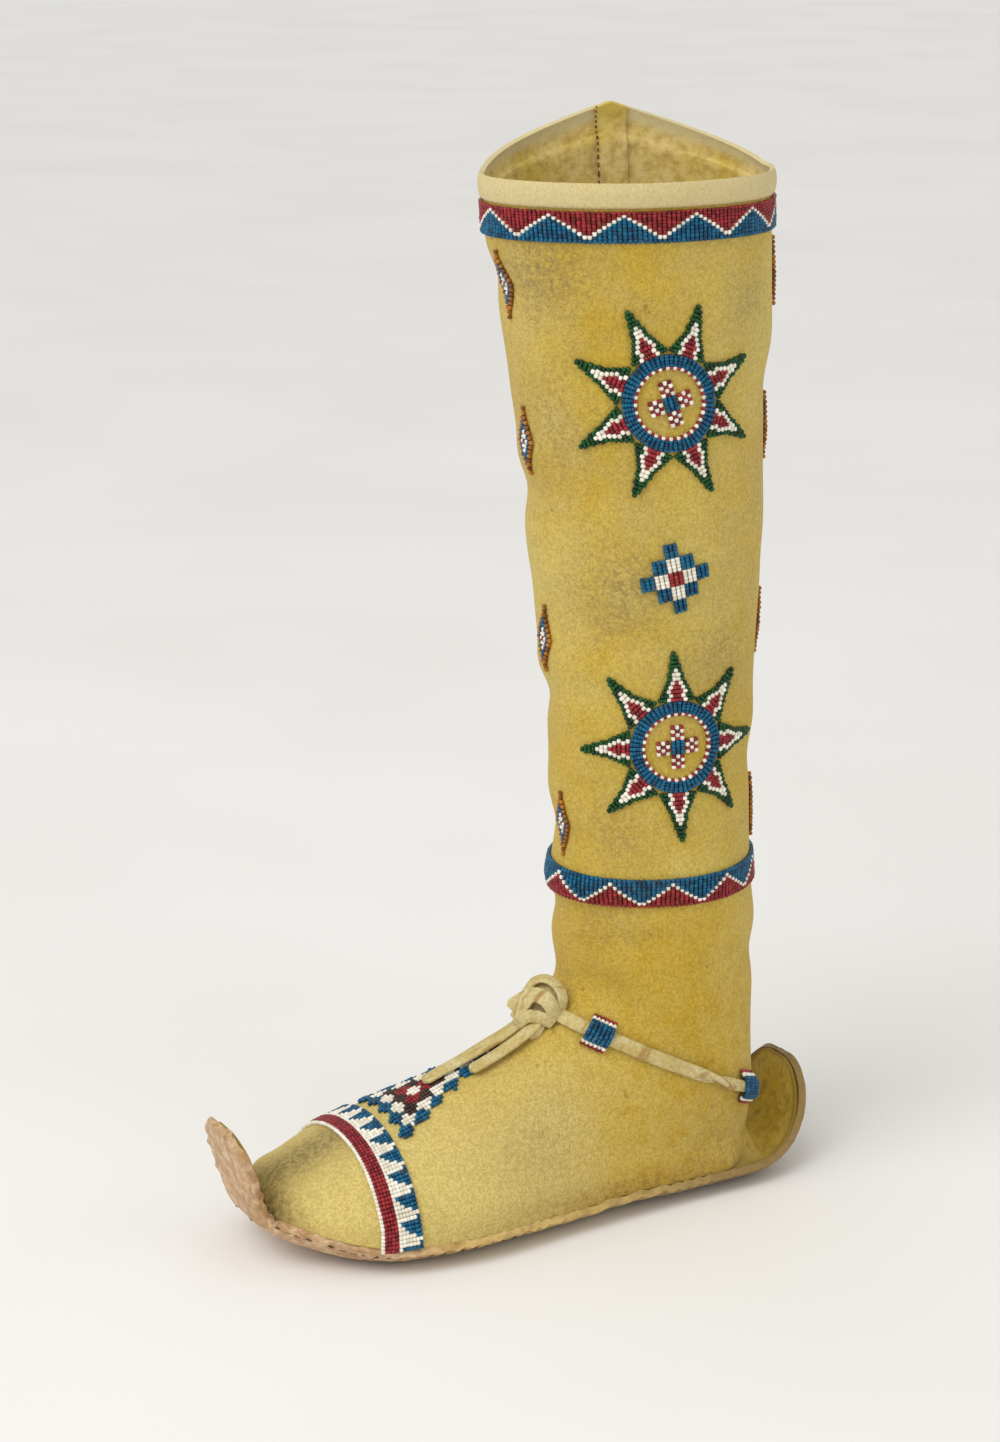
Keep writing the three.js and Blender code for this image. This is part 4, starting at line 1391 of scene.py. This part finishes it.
def bead_shape():
    bead = bmesh.new()
    verts = [bead.verts.new((radius, 0, high)) for radius, high in BEAD_PROFILE]
    edges = [bead.edges.new(pair) for pair in zip(verts, verts[1:])]
    bmesh.ops.spin(
        bead, geom=verts + edges, cent=(0, 0, 0), axis=(0, 0, 1),
        angle=2 * math.pi, steps=BEAD_SIDES, use_merge=True,
    )
    bmesh.ops.remove_doubles(bead, verts=bead.verts, dist=BEAD_SEAM)
    bmesh.ops.recalc_face_normals(bead, faces=bead.faces)
    bead.verts.index_update()
    corners = np.array([vert.co for vert in bead.verts])
    faces = [[vert.index for vert in face.verts] for face in bead.faces]
    bead.free()
    return corners, faces


BEAD_CORNERS, BEAD_FACES = bead_shape()


# Beads of one motif as a joined mesh, each from a first to a last point
def set_beads(name, first, last, out, letters, wide):
    count = len(letters)
    axis = last - first
    axis = axis + chance.normal(0, LEAN_SPREAD, axis.shape)
    middle = (first + last) / 2 + out * chance.normal(0, REST_SPREAD, (count, 1))
    along = np.sum(out * axis, axis=1, keepdims=True) / np.sum(axis**2, axis=1, keepdims=True)
    facing = unit(out - axis * along)
    side = np.cross(unit(axis), facing)
    girth = wide * (1 + chance.normal(0, GIRTH_SPREAD, (count, 1, 1)))
    corners = BEAD_CORNERS[None]
    across = corners[..., :1] * facing[:, None] + corners[..., 1:2] * side[:, None]
    points = middle[:, None] + girth * across + corners[..., 2:] * axis[:, None] * BEAD_LONG
    points = in_frame(points.reshape(-1, 3))
    starts = np.arange(count) * len(BEAD_CORNERS)
    loops = np.concatenate([np.array(face) for face in BEAD_FACES])
    sizes = np.array([len(face) for face in BEAD_FACES])
    data = bpy.data.meshes.new(name)
    data.vertices.add(len(points))
    data.vertices.foreach_set("co", points.astype(np.float32).ravel())
    data.loops.add(count * len(loops))
    data.loops.foreach_set("vertex_index", (starts[:, None] + loops).astype(np.int32).ravel())
    data.polygons.add(count * len(sizes))
    ends = np.cumsum(np.tile(sizes, count))
    data.polygons.foreach_set("loop_start", (ends - np.tile(sizes, count)).astype(np.int32))
    kinds = sorted(set(letters))
    kind = np.array([kinds.index(letter) for letter in letters])
    data.polygons.foreach_set("material_index", np.repeat(kind, len(sizes)).astype(np.int32))
    data.update(calc_edges=True)
    shade = data.attributes.new("shade", "FLOAT", "POINT")
    shade.data.foreach_set("value", np.repeat(chance.random(count), len(BEAD_CORNERS)).astype(np.float32))
    return data, [BEADS[letter] for letter in kinds]


def bead_piece(node, first, last, out, letters, wide=BEAD_WIDE):
    name = f"beads_{node}"
    data, materials = set_beads(name, first, last, out, letters, wide)
    return finish_piece(data, name, materials, [node])


# Step right and up toward a heading
def toward(heading, length):
    return np.array([math.cos(heading), math.sin(heading)]) * length


# A chart holds beads by their two ends, right and up from the motif's middle
def chart_lane(chart, centre, heading, word, length):
    step = toward(heading, length)
    start = np.array(centre, float) - step * len(word) / 2
    for place, letter in enumerate(word):
        chart.append((*(start + step * place), *(start + step * (place + 1)), letter))


def lay_chart(node, chart, anchor):
    ends = np.array([bead[:4] for bead in chart])
    at_first, angle_first = walk(anchor, ends[:, 0], ends[:, 1])
    at_last, angle_last = walk(anchor, ends[:, 2], ends[:, 3])
    rest = np.full(len(chart), BEAD_REST)
    first = over_hide(at_first, angle_first, rest)
    last = over_hide(at_last, angle_last, rest)
    out = outward((at_first + at_last) / 2, (angle_first + angle_last) / 2)
    return bead_piece(node, first, last, out, [bead[4] for bead in chart])


# Bands of upright lanes round the shaft
BAND_BEADS = 9
ZIGZAG_TOP = 1.0
ZIGZAG_DROP = 6.4
COLLAR_BAND_HIGH = 414.4
COLLAR_BAND_TOP = section_at_height(COLLAR_BAND_HIGH, math.pi / 2)
COLLAR_BAND_LOW = section_at_height(COLLAR_BAND_HIGH - BAND_HEIGHT, math.pi / 2)
CALF_BAND_TOP = 14.781
CALF_BAND_LOW = 14.118
# Name, slot, top and low section, lanes, lanes in a period, colours above and below the zigzag
BANDS = [
    ("collar_band", "red_beads", COLLAR_BAND_TOP, COLLAR_BAND_LOW, 180, 15, "R", "B"),
    ("calf_band", "blue_beads", CALF_BAND_TOP, CALF_BAND_LOW, 130, 13, "B", "R"),
]


# One lane's word and bead ends for each lane of a zigzag's period
def zigzag_lanes(above, below, period):
    words = []
    stops = []
    for lane in range(period):
        line = ZIGZAG_TOP + ZIGZAG_DROP * (1 - abs(1 - 2 * lane / period))
        beads = round(line)
        rest = BAND_BEADS - 1 - beads
        words.append(above * beads + "W" + below * rest)
        upper = np.linspace(0, line, beads + 1)
        lower = np.linspace(line + 1, BAND_BEADS, rest + 1)
        stops.append(np.concatenate([upper, lower]) / BAND_BEADS)
    return words, stops


def even_angles(at, start, stop, lanes):
    fine = np.linspace(start, stop, FINE_STEPS)
    run = lengths_along(skin(at, fine))
    return np.interp((np.arange(lanes) + 0.5) / lanes * run[-1], run, fine)


def lay_band(node, angles, high, low, words, stops):
    count = len(words[0])
    ends = high + (low - high) * np.array([stops[lane % len(stops)] for lane in range(len(angles))])
    lanes = np.repeat(angles, count)
    rest = np.full(len(lanes), BEAD_REST)
    first = over_hide(ends[:, :-1].ravel(), lanes, rest)
    last = over_hide(ends[:, 1:].ravel(), lanes, rest)
    out = outward(np.full(len(lanes), (high + low) / 2), lanes)
    letters = [letter for lane in range(len(angles)) for letter in words[lane % len(words)]]
    return bead_piece(node, first, last, out, letters)


def make_bands():
    for node, slot, top, low, lanes, period, above, below in BANDS:
        angles = even_angles((top + low) / 2, -np.pi, np.pi, lanes)
        words, stops = zigzag_lanes(above, below, period)
        lay_band(node, angles, top, low, words, stops)


make_bands()

# Toe band of lanes running along the foot, from rim to rim
TOE_BAND_LOW = 3.425
TOE_BAND_HIGH = 4.038
TOE_LANES = 79
TOE_REDS = 4
TOE_TEETH = [1, 2, 3, 5, 7, 6]
TOE_TOOTH = max(TOE_TEETH)


def make_toe_band():
    middle = (TOE_BAND_LOW + TOE_BAND_HIGH) / 2
    edge = row_angles([middle], 2)[0]
    words = ["W" + "R" * TOE_REDS + "W" * tooth + "B" * (TOE_TOOTH - tooth) for tooth in TOE_TEETH]
    angles = even_angles(middle, edge[0], edge[-1], TOE_LANES)
    stops = [np.linspace(0, 1, len(words[0]) + 1)]
    lay_band("toe_band", angles, TOE_BAND_LOW, TOE_BAND_HIGH, words, stops)


make_toe_band()

# Stars: a ring of radial lanes with eight rays, each ray bent a little
RING_LANES = 58
RING_INNER = 13.4
RING_BEAD = 1.16
RING_WORDS = ["RBBBB", "WBBBB"]
RAY_FROM = 20.0
RAY_PITCH = 1.75
RAY_BEAD = 1.72
RAY_ROWS = [
    "GGWRRRWGG", "GGWRRWGG", "GWRRRWG", "GWRRWG", "GWRWG", "GWWG",
    "GWWG", "GWG", "GGG", "GG", "GG", "G",
]
RAY_BENDS = [0.8, -1.6, 2.2, -0.6, 1.4, -2.0, 0.4, 1.8]
SIDE_ANGLES = {"outer": math.radians(78), "inner": math.radians(-102)}
STAR_HEIGHTS = {"upper": 0.800, "lower": 0.470}
STAR_TURNS = {"upper": math.pi / 8, "lower": 0.0}


def star_chart(turn):
    chart = []
    for lane in range(RING_LANES):
        heading = 2 * math.pi * lane / RING_LANES
        word = RING_WORDS[lane % len(RING_WORDS)]
        centre = toward(heading, RING_INNER + RING_BEAD * len(word) / 2)
        chart_lane(chart, centre, heading, word, RING_BEAD)
    for ray, bend in enumerate(RAY_BENDS):
        heading = math.pi / 2 + turn + 2 * math.pi * ray / len(RAY_BENDS)
        for row, word in enumerate(RAY_ROWS):
            aside = bend * (row / (len(RAY_ROWS) - 1)) ** 2
            centre = toward(heading, RAY_FROM + RAY_PITCH * row) + toward(heading + math.pi / 2, aside)
            chart_lane(chart, centre, heading - math.pi / 2, word, RAY_BEAD)
    return chart


# Small square block of upright lanes, part of flowers and checkers
BLOCK_LANES = 3
BLOCK_BEADS = 4


def chart_block(chart, centre, turn, words, length):
    for lane, word in enumerate(words):
        shift = toward(turn, (lane - (len(words) - 1) / 2) * BEAD_LANE)
        chart_lane(chart, centre + shift, turn + math.pi / 2, word, length)


def plain_block(letter):
    return [letter * BLOCK_BEADS] * BLOCK_LANES


FLOWER_BEAD = 1.5
FLOWER_STEP = 6.1
FLOWER_TURNS = {"upper": math.radians(15), "lower": math.radians(2)}
PETAL = ["WRWR", "RWRW", "WRWR"]
PETALS = 4


def flower_chart(turn):
    chart = []
    chart_block(chart, np.zeros(2), turn, plain_block("B"), FLOWER_BEAD)
    for petal in range(PETALS):
        centre = toward(turn + 2 * math.pi * petal / PETALS, FLOWER_STEP)
        chart_block(chart, centre, turn, PETAL, FLOWER_BEAD)
    return chart


CHECKER_BLOCK = 5.7
CHECKER_BEAD = 1.42
CHECKER_TURN = math.radians(10)
CHECKER_HEIGHT = 0.635
CHECKER_COLOURS = "RWB"


def checker_chart():
    chart = []
    right = toward(CHECKER_TURN, CHECKER_BLOCK)
    up = toward(CHECKER_TURN + math.pi / 2, CHECKER_BLOCK)
    reach = len(CHECKER_COLOURS) - 1
    for column in range(-reach, reach + 1):
        for row in range(-reach, reach + 1):
            ring = abs(column) + abs(row)
            if ring <= reach:
                block = plain_block(CHECKER_COLOURS[ring])
                chart_block(chart, right * column + up * row, CHECKER_TURN, block, CHECKER_BEAD)
    return chart


def make_side_motifs():
    for side, angle in SIDE_ANGLES.items():
        for level, share in STAR_HEIGHTS.items():
            anchor = shaft_anchor(share, angle)
            lay_chart(f"star_{side}_{level}", star_chart(STAR_TURNS[level]), anchor)
            lay_chart(f"flower_{side}_{level}", flower_chart(FLOWER_TURNS[level]), anchor)
        lay_chart(f"checker_{side}", checker_chart(), shaft_anchor(CHECKER_HEIGHT, angle))


make_side_motifs()

# Lozenges in two columns, front and back
LOZENGE_HALF = ["A", "A", "AA", "ABA", "ABBA", "ABWBA", "ABWWBA", "ABWRWBA"]
LOZENGE_PITCH = 1.87
LOZENGE_BEAD = 1.5
LOZENGE_HEIGHTS = [0.903, 0.757, 0.567, 0.381]
LOZENGE_ANGLES = {"front": 0.0, "back": math.radians(160)}


def lozenge_chart():
    chart = []
    words = LOZENGE_HALF + LOZENGE_HALF[-2::-1]
    for row, word in enumerate(words):
        up = ((len(words) - 1) / 2 - row) * LOZENGE_PITCH
        chart_lane(chart, (0, up), 0.0, word, LOZENGE_BEAD)
    return chart


def make_lozenges():
    for column, angle in LOZENGE_ANGLES.items():
        for place, share in enumerate(LOZENGE_HEIGHTS, start=1):
            anchor = shaft_anchor(share, angle)
            lay_chart(f"lozenge_{column}_{place}", lozenge_chart(), anchor)


make_lozenges()

# Vamp triangle: nested blocks stepping in from its three sides
TRIANGLE_AT = 4.154
TRIANGLE_HEIGHT = 62
TRIANGLE_BASE = 47
TRIANGLE_LANE = 1.88
TRIANGLE_LANES = 12
TRIANGLE_BEAD = 1.35
TRIANGLE_DEEP = 6.5
TRIANGLE_STEP = 9.4
TRIANGLE_COLOURS = "BWDRW"


def triangle_colour(right, up):
    corners = np.array([[-TRIANGLE_BASE / 2, 0], [TRIANGLE_BASE / 2, 0], [0, TRIANGLE_HEIGHT]])
    near = []
    for corner, ahead in zip(corners, np.roll(corners, -1, axis=0)):
        run = unit(ahead - corner)
        offset = np.array([right, up]) - (corner + ahead) / 2
        near.append((run[0] * offset[1] - run[1] * offset[0], offset @ run))
    deep, along = min(near)
    forward = deep / TRIANGLE_DEEP + along / TRIANGLE_STEP
    backward = deep / TRIANGLE_DEEP - along / TRIANGLE_STEP
    ring = math.floor(forward) + math.floor(backward)
    if ring < 0:
        return None
    return TRIANGLE_COLOURS[min(ring, len(TRIANGLE_COLOURS) - 1)]


def make_triangle():
    chart = []
    for lane in range(-TRIANGLE_LANES, TRIANGLE_LANES + 1):
        right = lane * TRIANGLE_LANE
        high = TRIANGLE_HEIGHT * (1 - 2 * abs(right) / TRIANGLE_BASE)
        for place in range(int(high / TRIANGLE_BEAD)):
            up = (place + 0.5) * TRIANGLE_BEAD
            letter = triangle_colour(right, up)
            if letter:
                chart_lane(chart, (right, up), math.pi / 2, letter, TRIANGLE_BEAD)
    lay_chart("vamp_triangle", chart, (TRIANGLE_AT, 0.0))


make_triangle()

# Keepers: short beaded straps arching over the tie
KEEPER_WORD = "RWBBBBBBBBWR"
KEEPER_LANES = 6
KEEPER_PITCH = 1.7
KEEPER_REACH = 14.0
KEEPER_FOOT = 0.9
KEEPER_TOP = TIE_TOP + 0.95
KEEPER_FLAT = 2.4
KEEPER_ALONG = {"front": 0.362, "back": 0.070}
KEEPER_SIDES = {"outer": 1, "inner": -1}
KEEPER_MARGIN = 0.05
KEEPER_STEPS = 400


def keeper_height(across):
    share = (KEEPER_REACH / 2 - np.abs(across)) / (KEEPER_REACH / 2 - KEEPER_FLAT)
    return KEEPER_FOOT + (KEEPER_TOP - KEEPER_FOOT) * ease(share)


def make_keepers():
    across = np.linspace(-KEEPER_REACH / 2, KEEPER_REACH / 2, len(KEEPER_WORD) + 1)
    letters = list(KEEPER_WORD) * KEEPER_LANES
    for side, sign in KEEPER_SIDES.items():
        angles = np.linspace(KEEPER_MARGIN, np.pi - KEEPER_MARGIN, KEEPER_STEPS) * sign
        sections = tie_section(angles)
        line = skin(sections, angles)
        run = lengths_along(line)
        for place, along in KEEPER_ALONG.items():
            middle = np.interp(-along * FOOT_LENGTH, line[:, 1], run)
            parts = []
            for lane in range(KEEPER_LANES):
                here = middle + (lane - (KEEPER_LANES - 1) / 2) * KEEPER_PITCH
                anchor = (float(np.interp(here, run, sections)), float(np.interp(here, run, angles)))
                at, turn = walk(anchor, np.zeros(len(across)), across)
                points = over_hide(at, turn, keeper_height(across))
                parts.append((points[:-1], points[1:], outward(at, turn)[:-1]))
            first, last, out = (np.concatenate(group) for group in zip(*parts))
            bead_piece(f"keeper_{side}_{place}", first, last, out, letters)


make_keepers()

# Sinew stitches along the outer face of the sole's rim
STITCH_FROM = 13.0
STITCH_TO = 19.0
STITCH_STEP = 4.6
STITCH_LENGTH = 2.4
STITCH_WIDE = 0.8
STITCH_SHARE = 0.93
STITCH_OUT = SOLE_THICKNESS - 0.1
STITCH_FINE_STEPS = 800
STRIP_STITCHES = 60
STRIP_STITCH = 0.07


def make_stitches():
    parts = []
    for side in (-1, 1):
        at = np.linspace(STITCH_FROM, STITCH_TO, STITCH_FINE_STEPS)
        share = np.full(len(at), side * STITCH_SHARE)
        line = sole_face(at, share) - sole_normal(at, share) * STITCH_OUT
        run = lengths_along(line)
        starts = np.arange(0, run[-1] - STITCH_LENGTH, STITCH_STEP)
        first = along_line(starts, run, line)
        last = along_line(starts + STITCH_LENGTH, run, line)
        place = np.interp(starts, run, at)
        parts.append((first, last, -sole_normal(place, np.full(len(place), side * STITCH_SHARE))))
    at = np.linspace(STRIP_FROM, STRIP_TO, STRIP_STITCHES)
    angle = np.full(len(at), PEAK_ANGLE + STRIP_WIDTH / COLLAR_WIDTH)
    inside = cuff_roll(at) - WALL - STRIP_THICKNESS
    parts.append((
        over_hide(at, angle, inside),
        over_hide(at + STRIP_STITCH, angle, inside),
        -outward(at, angle),
    ))
    first, last, out = (np.concatenate(group) for group in zip(*parts))
    data, materials = set_beads("sinew_stitches", first, last, out, ["S"] * len(first), STITCH_WIDE)
    return finish_piece(data, "sinew_stitches", materials, [])


make_stitches()


# Pale floor and soft studio light
FLOOR_TONES = tones(grey=(236, 235, 232), pale=(240, 239, 237))
FLOOR_REACH = 12
FLOOR_ROUGHNESS = 0.9


def make_stage():
    material, tree, shader, place = new_material("studio floor")
    patches = fade(tree, noise(tree, place, 3.0, 2.0), 0.3, 0.7)
    colour = mixed(tree, patches, FLOOR_TONES["grey"], FLOOR_TONES["pale"])
    tree.links.new(colour, shader.inputs["Base Color"])
    shader.inputs["Roughness"].default_value = FLOOR_ROUGHNESS
    mesh = bmesh.new()
    bmesh.ops.create_grid(mesh, x_segments=1, y_segments=1, size=FLOOR_REACH)
    data = as_data(mesh, "studio_floor")
    data.materials.append(material)
    add_object("studio_floor", data)


# Name, place, size and power
LIGHTS = [
    ("front_light", (0.4, -1.5, 1.3), 1.2, 11),
    ("side_light", (1.7, 0.7, 1.0), 1.4, 4),
]
LIGHT_AIM = Vector((0, 0, 0.2))
SUN_FROM = Vector((0.35, -0.75, 1.25))
SUN_STRENGTH = 0.7
SUN_SPREAD = math.radians(40)
SKY_COLOUR = (1.0, 0.985, 0.96, 1)
SKY_STRENGTH = 0.68


def add_light(name, kind, place):
    data = bpy.data.lights.new(name, kind)
    light = add_object(name, data)
    light.location = place
    light.rotation_euler = (LIGHT_AIM - Vector(place)).to_track_quat("-Z", "Y").to_euler()
    return data


def make_lights():
    for name, place, size, power in LIGHTS:
        data = add_light(name, "AREA", place)
        data.size = size
        data.energy = power
    sun = add_light("sky_light", "SUN", LIGHT_AIM + SUN_FROM)
    sun.energy = SUN_STRENGTH
    sun.angle = SUN_SPREAD
    world = bpy.data.worlds.new("studio")
    world.use_nodes = True
    sky = world.node_tree.nodes["Background"].inputs
    sky["Color"].default_value = SKY_COLOUR
    sky["Strength"].default_value = SKY_STRENGTH
    bpy.context.scene.world = world
    bpy.context.scene.view_settings.view_transform = "Standard"


make_stage()
make_lights()
